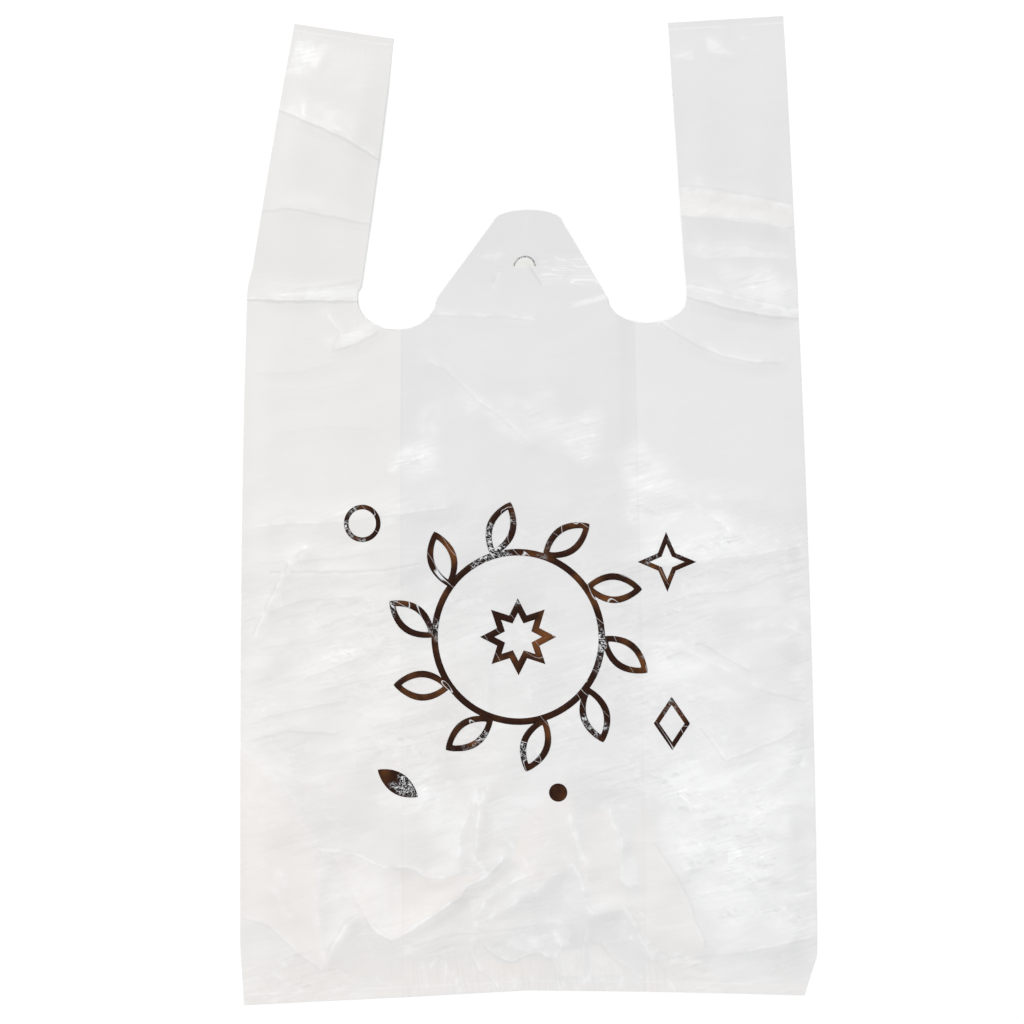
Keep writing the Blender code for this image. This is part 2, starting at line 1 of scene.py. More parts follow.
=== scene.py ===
"""The looks of a gusseted carrier bag of thin milky film, which lies empty and flat on its back.

The handles point along +Y, the printed front faces +Z and the table is at z = 0. Flat film has two
coordinates, in metres: u across the bag from its middle, and v along it from the cut bottom edge.
Layers are counted from the table: 0 back panel, 1 and 2 the gusset, 3 front panel.
"""
import math

import bpy
import numpy as np
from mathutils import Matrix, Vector


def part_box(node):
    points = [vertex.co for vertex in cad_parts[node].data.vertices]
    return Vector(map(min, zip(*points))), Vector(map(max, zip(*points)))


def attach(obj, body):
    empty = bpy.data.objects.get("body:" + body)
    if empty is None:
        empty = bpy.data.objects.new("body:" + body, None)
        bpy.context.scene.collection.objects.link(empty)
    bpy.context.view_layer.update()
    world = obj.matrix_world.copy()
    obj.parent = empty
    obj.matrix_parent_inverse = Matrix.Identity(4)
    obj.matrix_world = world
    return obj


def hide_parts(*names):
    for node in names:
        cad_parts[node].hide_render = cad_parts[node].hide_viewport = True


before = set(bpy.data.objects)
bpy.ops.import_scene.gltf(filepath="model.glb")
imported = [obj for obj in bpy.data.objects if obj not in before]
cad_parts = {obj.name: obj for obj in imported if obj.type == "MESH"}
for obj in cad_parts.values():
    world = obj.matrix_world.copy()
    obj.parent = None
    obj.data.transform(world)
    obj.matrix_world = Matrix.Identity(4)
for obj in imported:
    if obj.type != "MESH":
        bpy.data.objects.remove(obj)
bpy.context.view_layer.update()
film_low, film_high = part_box("bag_film")
scene = bpy.context.scene
scene.view_settings.view_transform = "Standard"


# The table and the light. A white table in a bright room, with a broad lamp at the upper left, a
# small one that makes the glints on the creases, and a weak one from the right. All are far away,
# so that the bag is lit evenly. The camera looks straight down.
TABLE_SIZE = 3.0
TABLE_COLOUR = (0.86, 0.86, 0.86, 1.0)
TABLE_GLOW = 0.20
TABLE_GLOW_COLOUR = (1.0, 1.0, 1.0, 1.0)
WORLD_COLOUR = (0.98, 0.99, 1.0, 1.0)
WORLD_STRENGTH = 0.76
CAMERA_PLACE = (-0.0086, -0.0008, 1.2585)
CAMERA_LENS = 85.0
LAMPS = (
    ("broad_lamp", (-2.05, 1.70, 2.12), 0.90, 32.0, (1.0, 0.995, 0.985)),
    ("glint_lamp", (-0.50, 1.60, 2.90), 0.22, 6.4, (1.0, 1.0, 1.0)),
    ("side_lamp", (1.60, 0.40, 2.40), 0.60, 3.0, (0.985, 0.99, 1.0)),
)


class Value:
    """A number, vector or colour in a shader tree. Adding two, for one, makes the node for it."""

    def __init__(self, tree, socket):
        self.tree = tree
        self.socket = socket

    def math(self, operation, *others, output=0):
        """The result of one Math node, or of Vector Math where this is a vector or a colour."""
        kind = "ShaderNodeMath" if self.socket.type == "VALUE" else "ShaderNodeVectorMath"
        inputs = dict(enumerate((self, *others)))
        return result_of(self.tree, kind, inputs, output, operation=operation)

    def __add__(self, other):
        return self.math("ADD", other)

    def __sub__(self, other):
        return self.math("SUBTRACT", other)

    def __mul__(self, other):
        return self.math("MULTIPLY", other)

    def __truediv__(self, other):
        return self.math("DIVIDE", other)

    def __abs__(self):
        return self.math("ABSOLUTE")


def new_material(name):
    """An empty node material, and its tree."""
    material = bpy.data.materials.new(name)
    material.use_nodes = True
    material.node_tree.nodes.clear()
    return material, material.node_tree


def add_node(tree, kind, inputs, **settings):
    """A node with its settings, its inputs set from numbers or linked from values."""
    node = tree.nodes.new(kind)
    for key, setting in settings.items():
        setattr(node, key, setting)
    for key, given in inputs.items():
        if isinstance(given, Value):
            tree.links.new(given.socket, node.inputs[key])
        else:
            node.inputs[key].default_value = given
    return node


def result_of(tree, kind, inputs, output=0, **settings):
    """What one output of a new node gives."""
    return Value(tree, add_node(tree, kind, inputs, **settings).outputs[output])


def largest(first, *others):
    """The largest of some numbers."""
    for other in others:
        first = first.math("MAXIMUM", other)
    return first


def make_table():
    """A flat square whose own white glow is seen, while the bag's shadow still falls on it."""
    half = TABLE_SIZE / 2
    corners = [(-half, -half, 0.0), (half, -half, 0.0), (half, half, 0.0), (-half, half, 0.0)]
    mesh = bpy.data.meshes.new("table")
    mesh.from_pydata(corners, [], [(0, 1, 2, 3)])
    table = bpy.data.objects.new("table", mesh)
    scene.collection.objects.link(table)
    material, tree = new_material("white_table")
    rays = add_node(tree, "ShaderNodeLightPath", {}).outputs
    kinds = ("Is Camera Ray", "Is Glossy Ray", "Is Transmission Ray")
    seen = largest(*(Value(tree, rays[kind]) for kind in kinds))
    matt = result_of(tree, "ShaderNodeBsdfDiffuse", {"Color": TABLE_COLOUR})
    light = {"Color": TABLE_GLOW_COLOUR, "Strength": seen * TABLE_GLOW}
    glow = result_of(tree, "ShaderNodeEmission", light)
    both = result_of(tree, "ShaderNodeAddShader", {0: matt, 1: glow})
    add_node(tree, "ShaderNodeOutputMaterial", {"Surface": both})
    mesh.materials.append(material)


def make_lights():
    """The room's even light, and area lamps that all face the middle of the bag."""
    world = bpy.data.worlds.new("room")
    world.use_nodes = True
    background = world.node_tree.nodes["Background"]
    background.inputs["Color"].default_value = WORLD_COLOUR
    background.inputs["Strength"].default_value = WORLD_STRENGTH
    scene.world = world
    for name, place, size, power, colour in LAMPS:
        data = bpy.data.lights.new(name, "AREA")
        data.size = size
        data.energy = power
        data.color = colour
        lamp = bpy.data.objects.new(name, data)
        lamp.location = place
        lamp.rotation_euler = (-Vector(place)).to_track_quat("-Z", "Y").to_euler()
        scene.collection.objects.link(lamp)


def make_camera():
    """The camera, which looks straight down on the bag as the photograph does."""
    data = bpy.data.cameras.new("camera")
    data.lens = CAMERA_LENS
    camera = bpy.data.objects.new("camera", data)
    camera.location = CAMERA_PLACE
    scene.collection.objects.link(camera)
    scene.camera = camera


make_table()
make_lights()
make_camera()


# The film. One blown tube of milky polyethylene, gusseted at both sides, welded across the bottom
# and across the top of each handle, and die cut to open the mouth, the notches and the handles.
# The table sets where each flat point lies, and the front panel keeps the creases of its handling.
FILM_THICKNESS = 0.00002
BAG_WIDTH = 0.300
BAG_LENGTH = 0.509
GUSSET_DEPTH = 0.084
HANDLE_WIDTH = 0.060
HANDLE_LENGTH = 0.146
HALF_WIDTH = BAG_WIDTH / 2
INNER_FOLD = HALF_WIDTH - GUSSET_DEPTH
HANDLE_INNER = HALF_WIDTH - HANDLE_WIDTH
HANDLE_BASE = BAG_LENGTH - HANDLE_LENGTH
ON_HANDLE = HANDLE_INNER - 0.000001

# How far apart the layers lie, at the welds, at the cut ends and between them, and how the front
# panel drops from the gusset to the back panel
LAYER_PITCH = 0.00020
EDGE_PITCH = 0.0001
WELD_PITCH = 0.00006
WELD_WIDTH = 0.0014
BOTTOM_WELD_INSET = 0.0050
HANDLE_WELD_INSET = 0.0035
SETTLE_LENGTH = 0.026
PANEL_DROP = 0.012
PANEL_DROP_END = 0.001

# How near a fold or a cut edge the front panel is pressed flat
FOLD_PRESSED = 0.0005
FOLD_FREE = 0.016
CUT_EDGE_PRESSED = 0.8

# The die: two notches, the tab between them, and the slit in the tab
NOTCH_WIDTH = 0.0435
LEFT_NOTCH_DEPTH = 0.0165
RIGHT_NOTCH_DEPTH = 0.0130
TAB_HEIGHT = 0.046
TAB_TOP_WIDTH = 0.037
TAB_CROWN = 0.006
SLIT_RADIUS = 0.0058
SLIT_WIDTH = 0.0009
SLIT_SWEEP = math.radians(165)
SLIT_RISE = 0.016
SLIT_STEPS = 32
DIE_REACH = 0.020

# How the bag lies: its sides drawn in, its handles and tab leaning, the line of its bottom edge
# from fold to fold, and its corners tucked
LEFT_DRAWN_IN = 0.0036
LEFT_DRAWN_CURVE = 3.5
RIGHT_DRAWN_IN = 0.0102
RIGHT_DRAWN_CURVE = 1.7
LEFT_HANDLE_LEAN = math.radians(-8.6)
RIGHT_HANDLE_LEAN = math.radians(3.4)
LEFT_HANDLE_DRAWN_DOWN = 0.005
LEFT_HANDLE_GATHER = 0.083
RIGHT_HANDLE_SPREAD = 0.045
HANDLE_BEND = 0.018
TAB_LEAN = math.radians(-4.0)
BOTTOM_LINE = (-0.0046, -0.0005, 0.0032, 0.0024, 0.0005)
BOTTOM_LINE_FADE = 0.150
RIGHT_TUCK = 0.0065
RIGHT_TUCK_HEIGHT = 0.021
LEFT_TUCK = 0.0019
LEFT_TUCK_HEIGHT = 0.030
TUCK_WIDTH = 0.036

# The mesh of the front panel, and of the layers under it
FRONT_LAYER = 3
FRONT_CELL = 0.0021
HIDDEN_COLUMN = 0.0120
SHOULDER = 0.045
NOTCH_COLUMNS = 20
CROWN_COLUMNS = 9
SHARP_ANGLE = math.radians(35)

# Creases of the front panel as it lies: how strong the painted highlight on its crest is, its
# height and its half width in millimetres, how much one side of it is steeper and has painted
# shade (the right of the run, or if negative the left), and the x and y in millimetres of the
# points that it runs through
CREASES = (
    # left handle
    (0.7, 1.3, 9, 0.6, ((-131, 208), (-113, 200), (-97, 193), (-83, 185), (-78, 182))),
    (0.3, 0.8, 8, 0.4, ((-139, 155), (-123, 156), (-103, 152), (-82, 148))),
    (0.8, 1.0, 8, 0.8, ((-147, 109), (-131, 108), (-113, 108), (-90, 108))),
    (0.4, 0.6, 5, -0.3, ((-121, 112), (-103, 114), (-89, 116))),
    (0.6, 0.5, 4, 0.0, ((-114, 244), (-115, 237), (-118, 231))),
    (0.6, 0.5, 4, 0.0, ((-105, 240), (-110, 229))),
    (0.6, 0.4, 4, 0.0, ((-128, 226), (-119, 226))),
    (0.6, 0.4, 4, 0.0, ((-120, 245), (-119, 240), (-122, 234))),
    (0.6, 0.8, 6, 0.2, ((-104, 100), (-101, 95), (-97, 91), (-101, 82))),
    (0.6, 0.9, 7, 0.4, ((-101, 82), (-90, 86), (-80, 91))),
    # right handle
    (0.6, 1.0, 8, -0.2, ((78, 166), (90, 165), (109, 162), (135, 157))),
    (0.5, 0.9, 8, 0.2, ((79, 152), (94, 151), (109, 149), (136, 146))),
    (0.4, 0.6, 6, 0.0, ((82, 133), (90, 136), (102, 135), (114, 135), (123, 132), (135, 131))),
    (0.8, 1.0, 7, -0.2, ((83, 115), (94, 113), (108, 109), (123, 105), (139, 102))),
    (0.5, 1.2, 8, 0.6, ((83, 110), (94, 107), (108, 103), (125, 100), (139, 99))),
    (0.7, 1.2, 9, 0.3, ((70, 96), (79, 90), (90, 84), (102, 79), (117, 76), (130, 76))),
    (0.5, 0.5, 4, 0.0, ((76, 234), (86, 239))),
    (0.6, 0.5, 4, 0.0, ((92, 244), (97, 242), (100, 239), (105, 236))),
    (0.4, 0.4, 4, 0.0, ((110, 247), (113, 241))),
    (0.4, 0.4, 4, 0.0, ((114, 245), (120, 239))),
    # under the tab
    (0.5, 0.6, 6, 0.2, ((-53, 101), (-33, 100), (-14, 100), (2, 98))),
    (0.4, 0.9, 8, 0.2, ((-51, 76), (-43, 72), (-33, 63), (-25, 55), (-14, 48), (0, 34))),
    (0.4, 0.4, 4, 0.0, ((-54, 48), (-55, 39))),
    (0.9, 0.4, 4, 0.0, ((-71, 19), (-65, 24))),
    (0.1, 1.0, 9, 0.0, ((-21, 122), (26, 140))),
    (0.5, 0.4, 4, 0.0, ((-24, 130), (-13, 132))),
    (0.5, 0.4, 4, 0.3, ((-15, 123), (-18, 115))),
    (0.3, 0.5, 5, 0.5, ((2, 125), (7, 117))),
    (0.2, 0.3, 3, 0.0, ((-1, 153), (-2, 136))),
    # left of the print
    (0.6, 1.5, 12, 0.2, ((-146, -11), (-128, -8), (-110, -8), (-97, -7), (-78, -4),
        (-66, -3), (-44, 0))),
    (0.5, 0.9, 8, -0.5, ((-133, -35), (-97, -35), (-76, -34), (-58, -31))),
    (0.8, 1.0, 8, 0.3, ((-117, -24), (-123, -28), (-129, -39), (-133, -47), (-142, -66))),
    (0.3, 0.9, 9, 0.0, ((-147, -89), (-133, -79), (-124, -68), (-103, -63))),
    (0.5, 0.8, 7, 0.2, ((-116, -88), (-105, -84), (-90, -78), (-81, -76))),
    (0.5, 0.7, 6, 0.0, ((-104, -93), (-90, -88), (-67, -85), (-59, -84))),
    (0.4, 0.5, 4, 0.0, ((-30, -88), (-25, -104))),
    (0.4, 0.5, 4, 0.0, ((-22, -88), (-22, -105))),
    (0.1, 0.4, 9, 0.1, ((-141, 70), (-119, 71), (-103, 75))),
    (0.1, 0.4, 9, -0.1, ((-136, 60), (-113, 59), (-90, 64))),
    (0.1, 0.3, 9, 0.1, ((-132, 39), (-104, 43), (-78, 41))),
    (0.2, 0.5, 5, 0.2, ((-139, -28), (-104, -26), (-82, -23))),
    (0.2, 0.5, 6, 0.3, ((-147, -58), (-119, -48), (-92, -46))),
    (0.2, 0.5, 5, -0.3, ((-119, -69), (-98, -60), (-76, -55))),
    (0.3, 0.5, 5, 0.3, ((-139, -109), (-119, -104), (-96, -100))),
    (0.2, 0.5, 5, 0.3, ((-147, -121), (-124, -115), (-101, -117))),
    (0.3, 0.4, 4, 0.0, ((-91, -124), (-90, -138))),
    # right of the print
    (0.6, 1.4, 11, 0.1, ((53, -30), (90, -27), (119, -24), (140, -20))),
    (0.4, 0.9, 9, 0.0, ((62, 6), (89, 5), (120, 4))),
    (0.6, 0.6, 5, 0.0, ((83, 4), (99, -7), (115, -19))),
    (0.5, 0.9, 8, 0.0, ((56, -70), (76, -71), (100, -83), (123, -95))),
    (0.5, 0.7, 6, 0.0, ((30, -88), (42, -82), (54, -75))),
    (0.3, 0.5, 5, 0.0, ((58, -34), (89, -31), (120, -35))),
    (0.4, 0.5, 5, 0.2, ((84, -44), (107, -43), (129, -34))),
    (0.5, 0.6, 5, 0.0, ((115, -63), (131, -60), (144, -66))),
    (0.3, 0.7, 7, 0.3, ((120, -94), (144, -100))),
    (0.3, 0.6, 6, 0.3, ((72, -77), (89, -69), (114, -84))),
    # lower left
    (0.8, 1.6, 10, 0.2, ((-107, -178), (-102, -178), (-90, -180), (-81, -184), (-73, -187),
        (-65, -186), (-57, -188), (-54, -192), (-44, -192), (-38, -190))),
    (0.9, 1.5, 9, -0.3, ((-106, -240), (-104, -233), (-99, -224), (-94, -216), (-90, -213))),
    (0.9, 1.6, 10, 0.3, ((-84, -214), (-79, -220), (-71, -225), (-64, -221), (-53, -214),
        (-43, -207), (-36, -202), (-32, -196), (-22, -192), (-14, -183))),
    (0.8, 1.2, 8, 0.0, ((-27, -145), (-29, -156), (-34, -164), (-36, -170), (-36, -178),
        (-37, -187))),
    (0.8, 1.2, 8, 0.0, ((-22, -147), (-26, -157), (-27, -171), (-28, -183), (-21, -190))),
    (0.7, 0.9, 7, 0.0, ((-13, -171), (-6, -179), (2, -191))),
    (0.8, 1.0, 7, 0.0, ((-1, -191), (-10, -195), (-21, -203), (-26, -211), (-29, -219))),
    (0.8, 0.9, 6, 0.0, ((-29, -219), (-18, -212), (-4, -203), (2, -199))),
    (0.9, 0.6, 5, 0.0, ((-132, -200), (-127, -208), (-124, -214))),
    (0.8, 0.4, 4, 0.0, ((-129, -191), (-127, -195))),
    (0.5, 0.6, 5, 0.0, ((-109, -193), (-110, -207), (-108, -227), (-106, -239))),
    (0.4, 1.2, 9, 0.2, ((-147, -213), (-134, -217), (-120, -231), (-107, -240))),
    (0.6, 0.6, 5, 0.0, ((-133, -242), (-125, -248), (-119, -252))),
    (0.9, 0.7, 5, 0.3, ((-22, -228), (-17, -233), (-9, -236), (0, -232), (6, -231), (11, -234))),
    (0.8, 0.5, 4, 0.0, ((-10, -227), (-5, -224), (1, -226), (8, -223))),
    (0.7, 0.4, 3, 0.0, ((-51, -243), (-51, -238), (-48, -234))),
    (0.7, 0.4, 3, 0.0, ((-43, -244), (-43, -237), (-44, -233))),
    (0.7, 0.5, 3, 0.2, ((-29, -232), (-26, -240), (-21, -243), (-15, -251))),
    (0.6, 0.4, 3, 0.0, ((-37, -245), (-37, -252))),
    (0.6, 0.4, 3, 0.0, ((-8, -246), (-7, -251))),
    (0.6, 0.4, 3, 0.0, ((1, -245), (3, -251))),
    (0.6, 0.4, 3, 0.0, ((-55, -238), (-53, -249))),
    (0.5, 0.6, 4, 0.0, ((-85, -244), (-82, -240), (-78, -246))),
    (0.3, 1.0, 9, 0.0, ((-145, -151), (-144, -146), (-137, -138), (-128, -145),
        (-123, -150), (-115, -157), (-110, -164))),
    (0.6, 0.6, 5, 0.0, ((-65, -159), (-59, -158), (-53, -150))),
    (0.1, 0.8, 8, -0.3, ((-58, -229), (-44, -224), (-20, -222), (2, -219))),
    # lower right
    (0.7, 0.9, 7, 0.0, ((1, -200), (9, -195), (22, -185))),
    (0.6, 1.7, 9, -0.1, ((22, -185), (27, -192), (29, -206), (33, -211), (50, -208),
        (53, -213), (61, -229), (68, -241), (76, -251))),
    (0.7, 0.8, 6, 0.0, ((21, -160), (22, -167), (25, -174), (30, -185))),
    (0.6, 0.8, 6, 0.0, ((42, -158), (44, -165), (48, -173), (48, -183))),
    (0.6, 0.5, 4, 0.0, ((48, -185), (48, -193), (52, -197), (57, -196))),
    (0.2, 1.4, 10, -0.3, ((65, -176), (77, -194), (83, -206), (85, -213), (91, -227))),
    (0.7, 1.3, 9, 0.2, ((91, -232), (110, -231), (128, -227), (149, -223))),
    (0.6, 0.5, 4, 0.2, ((63, -232), (69, -230), (76, -232), (84, -234))),
    (0.7, 0.5, 4, 0.0, ((74, -236), (90, -237))),
    (0.9, 0.4, 4, 0.0, ((49, -224), (50, -216), (52, -223))),
    (0.5, 1.0, 8, 0.3, ((91, -115), (103, -131), (108, -129), (130, -120), (141, -113))),
    (0.3, 1.4, 11, 0.0, ((68, -150), (102, -160), (136, -171))),
    (0.5, 0.6, 5, 0.0, ((103, -190), (123, -196))),
    (0.5, 0.6, 5, 0.0, ((110, -190), (149, -195))),
    (0.5, 0.7, 6, 0.0, ((88, -201), (118, -196))),
    (0.4, 0.8, 7, 0.0, ((104, -162), (129, -156), (145, -148))),
    (0.4, 0.7, 6, 0.0, ((90, -150), (106, -160))),
    (0.4, 0.8, 7, 0.0, ((141, -115), (140, -127), (132, -138), (120, -146))),
    (0.4, 0.5, 5, 0.1, ((39, -227), (44, -234), (52, -239), (58, -245))),
    (0.6, 0.4, 4, 0.0, ((6, -216), (14, -215), (20, -216))),
    (0.5, 0.5, 4, 0.1, ((30, -220), (29, -227), (28, -236), (28, -242))),
    (0.8, 0.4, 3, 0.0, ((14, -221), (17, -227), (14, -235))),
    (0.8, 0.4, 3, 0.0, ((20, -219), (21, -227))),
    (0.7, 0.4, 3, 0.0, ((17, -245), (20, -251))),
    (0.7, 0.4, 3, 0.0, ((25, -251), (28, -247), (32, -244))),
    (0.7, 0.4, 3, 0.0, ((38, -246), (41, -252))),
    (0.6, 0.4, 3, 0.0, ((49, -245), (47, -251))),
    (0.4, 0.5, 4, 0.0, ((14, -236), (16, -251))),
)
CREST_ROUND = 0.0012
RIDGE_POWER = 1.5
WOBBLE = 0.00025
WOBBLE_LENGTHS = (0.013, 0.047)

# Flat facets between the creases, as outlines in millimetres. The light makes some of them a little
# warm, some grey and a few bright, and in the sheen of others the edges are soft.
WARM_FACETS = (
    ((78, 166), (109, 162), (138, 157), (138, 146), (109, 150), (78, 152)),
    ((-103, -177), (-73, -187), (-54, -192), (-36, -190), (-21, -192),
        (-43, -207), (-70, -225), (-84, -213), (-92, -200)),
    ((-151, -127), (-139, -135), (-127, -151), (-115, -168), (-110, -185), (-109, -207),
        (-108, -227), (-106, -240), (-120, -231), (-134, -217), (-151, -212)),
    ((58, -152), (63, -159), (69, -178), (78, -195), (85, -213), (92, -229),
        (84, -234), (64, -230), (53, -213), (58, -196), (54, -176)),
    ((-4, -164), (18, -140), (23, -152), (26, -184), (0, -198), (-9, -183)),
    ((-24, -235), (-9, -237), (0, -234), (12, -236), (17, -230),
        (27, -231), (30, -245), (8, -245), (-15, -247)),
    ((31, -227), (38, -227), (51, -240), (56, -245), (32, -245)),
    ((28, -159), (43, -157), (48, -178), (48, -196), (58, -209), (35, -208), (26, -188)),
)
GREY_FACETS = (
    ((-89, -213), (-70, -225), (-65, -222), (-65, -247), (-78, -247), (-106, -240), (-99, -224)),
    ((-136, -134), (-112, -146), (-90, -151), (-65, -157), (-65, -187), (-73, -187),
        (-90, -180), (-106, -177), (-116, -164), (-124, -147)),
    ((-70, -225), (-43, -207), (-31, -200), (-29, -219), (-31, -228), (-58, -230)),
    ((1, -200), (22, -185), (27, -192), (29, -206), (33, -211), (50, -208),
        (58, -222), (42, -225), (29, -230), (16, -223), (2, -220)),
    ((92, -118), (103, -131), (138, -119), (110, -122)),
    ((80, 151), (109, 148), (136, 144), (136, 136), (114, 138), (83, 137)),
    ((83, 108), (108, 102), (139, 98), (139, 94), (108, 96), (84, 101)),
)
BRIGHT_FACETS = (
    ((-121, 243), (-112, 243), (-110, 236), (-118, 227), (-125, 227)),
    ((78, 166), (109, 162), (138, 157), (138, 146), (109, 150), (78, 152)),
    ((-97, 90), (-99, 83), (-90, 86), (-83, 90), (-88, 92)),
    ((76, 234), (86, 239), (86, 232)),
    ((92, 244), (97, 242), (105, 236), (93, 236)),
    ((82, 132), (90, 136), (114, 135), (123, 132), (135, 132), (135, 129), (114, 130), (90, 129)),
    ((48, -185), (56, -180), (57, -196), (52, -197), (48, -193)),
    ((-144, 109), (-119, 112), (-89, 116), (-89, 109)),
    ((21, -160), (23, -160), (30, -185), (26, -183)),
    ((-82, -7), (-72, -5), (-66, -7), (-79, -12)),
    ((-103, -177), (-73, -187), (-66, -189), (-66, -223), (-70, -225), (-84, -213), (-92, -200)),
    ((-134, -48), (-129, -43), (-127, -51), (-132, -55)),
    ((12, -220), (19, -218), (23, -221), (20, -226), (14, -228)),
    ((-10, -224), (-4, -222), (9, -223), (8, -229), (-1, -231), (-8, -230)),
    ((49, -216), (47, -224), (53, -224)),
    ((16, -231), (27, -229), (28, -244), (17, -244)),
    ((31, -227), (38, -229), (50, -243), (32, -244)),
    ((58, -222), (64, -225), (61, -228)),
    ((60, -236), (64, -237), (67, -244), (62, -243)),
)
SHEEN = (
    ((58, 40), (71, 27), (84, 9), (97, 4), (116, -18), (89, -26), (59, -28), (50, -7)),
    ((64, -176), (64, -147), (84, -119), (136, -112), (147, -132),
        (149, -220), (92, -228), (85, -207), (77, -194)),
    ((-37, 60), (-26, 60), (12, 39), (14, 26), (-5, 29), (-20, 35)),
    ((18, 36), (25, 46), (33, 52), (37, 48), (33, 37), (24, 28)),
    ((-15, 26), (-7, 47), (10, 57), (19, 45), (10, 26)),
    ((-52, 51), (-45, 55), (-48, 19), (-71, 17), (-67, 25), (-55, 35)),
    ((91, 126), (124, 126), (136, 112), (101, 116)),
    ((61, -71), (78, -73), (98, -83), (115, -97), (111, -102), (98, -97), (75, -83)),
    ((-57, -142), (-31, -147), (-26, -173), (-36, -188), (-57, -185)),
)

# The long waves over the whole front, and the facets of its crumpled parts
BILLOW = 0.0010
BILLOW_LENGTH = 0.170
BILLOW_SLANT = 0.24
CRUMPLE = 0.0011
CRUMPLE_LENGTH = 0.058
CRUMPLE_SLANTS = (0.35, 0.55)
CRUMPLE_SHIFT = 1.1
CRUMPLE_FULL = -0.060
CRUMPLE_END = 0.020
CRUMPLE_HANDLES = (0.120, 0.180)
CRUMPLE_SHARES = (0.22, 0.78, 0.15)
FACET_SPACINGS = (0.036, 0.019)
FACET_SLOPES = (0.060, 0.035)
FACET_PIT = 0.0030
FACET_SEED = 11

# The film's tones: two layers in the middle, four at each side, warm places, white places that are
# mostly painted highlights, painted shadow round the slit and painted light on its flap
CENTRE_TONE = (0.793, 0.786, 0.781, 1.0)
LEFT_TONE = (0.830, 0.816, 0.797, 1.0)
RIGHT_TONE = (0.814, 0.807, 0.803, 1.0)
WARM_TONE = (0.853, 0.801, 0.762, 1.0)
WHITE_TONE = (0.945, 0.940, 0.937, 1.0)
SLIT_SHADOW_TONE = (0.74, 0.75, 0.78, 1.0)
FLAP_LIGHT_TONE = (0.84, 0.83, 0.80, 1.0)
FILM_ROUGHNESS = 0.26
FILM_SPECULAR = 0.5

# How wide the change from the left tones to the right ones is, to each side of the middle, how much
# nearer the middle the inner fold shows at the right, and how far a crest's painted highlight and
# shade reach
SIDE_BLEND = 0.02
FOLD_AT_RIGHT = 0.0048
LINE_REACH = 0.0011
CREST_REACH = 0.0021
LEAN_REACH = 0.0030
HALO_REACH = 0.0050

# How much white each mark adds, most of it painted highlight, and how much darker each one
# makes the film, most of it painted shade
CREST_LINE_HIGHLIGHT = 0.78
CREST_HALO_HIGHLIGHT = (0.05, 0.45)
WELD_WHITE = 0.35
SWELL_HIGHLIGHT = 0.34
GLINT_WHITE = 0.62
SHEEN_WHITE = 0.36
LOWER_WHITE = 0.20
FOLD_DARK = 0.022
SHADE_DARK = 0.030
LEAN_SHADE = 0.16
GREY_FACET_SHADE = 0.020
HOLLOW_SHADE = 0.026
HANDLE_DARK = 0.022

# The patterns of the crumpled film. Scales are per metre, and streaks and facets are stretched
WORN_SCALE = 110.0
PATCH_SCALE = 20.0
CLOUD_SCALE = 14.0
WARP_SCALE = 90.0
WARP_REACH = (0.006, 0.006, 0.0)
HALF_WAY = (0.5, 0.5, 0.5)
SWELL_SIZE = (0.034, 0.012, 1.0)
SWELL_TURN = (0.0, 0.0, 0.22)
FINE_STREAKS = {"Turn": -0.25, "Scale": 42.0, "Stretch": 5.0, "Thin": 0.012, "Slope": 0.20}
PLEATS = {"Turn": 1.45, "Scale": 30.0, "Stretch": 8.0, "Thin": 0.014, "Slope": 0.24}
TAB_RIPPLES = {"Turn": 0.03, "Scale": 34.0, "Stretch": 9.0, "Thin": 0.050, "Slope": 0.0}
WIDE_FACETS = {"Turn": -0.35, "Scale": 38.0, "Stretch": 1.9, "Tilt": 0.15}
SMALL_FACETS = {"Turn": -0.15, "Scale": 95.0, "Stretch": 2.4, "Tilt": 0.20}
TINY_FACETS = {"Turn": 0.50, "Scale": 230.0, "Stretch": 1.9, "Tilt": 0.26}


def ramp(value, start, end):
    """0 up to start and 1 from end on, with a smooth rise between them."""
    share = np.clip((value - start) / (end - start), 0.0, 1.0)
    return share * share * (3 - 2 * share)


def evenly(start, end, step):
    """Points from start to end, both included, about a step apart."""
    count = max(1, round(abs(end - start) / step))
    return np.linspace(start, end, count + 1)


def turn(u, v, centre_u, centre_v, angle):
    """Turn points about a centre, by an angle that may differ from point to point."""
    across = u - centre_u
    along = v - centre_v
    cos = np.cos(angle)
    sin = np.sin(angle)
    return centre_u + across * cos - along * sin, centre_v + across * sin + along * cos


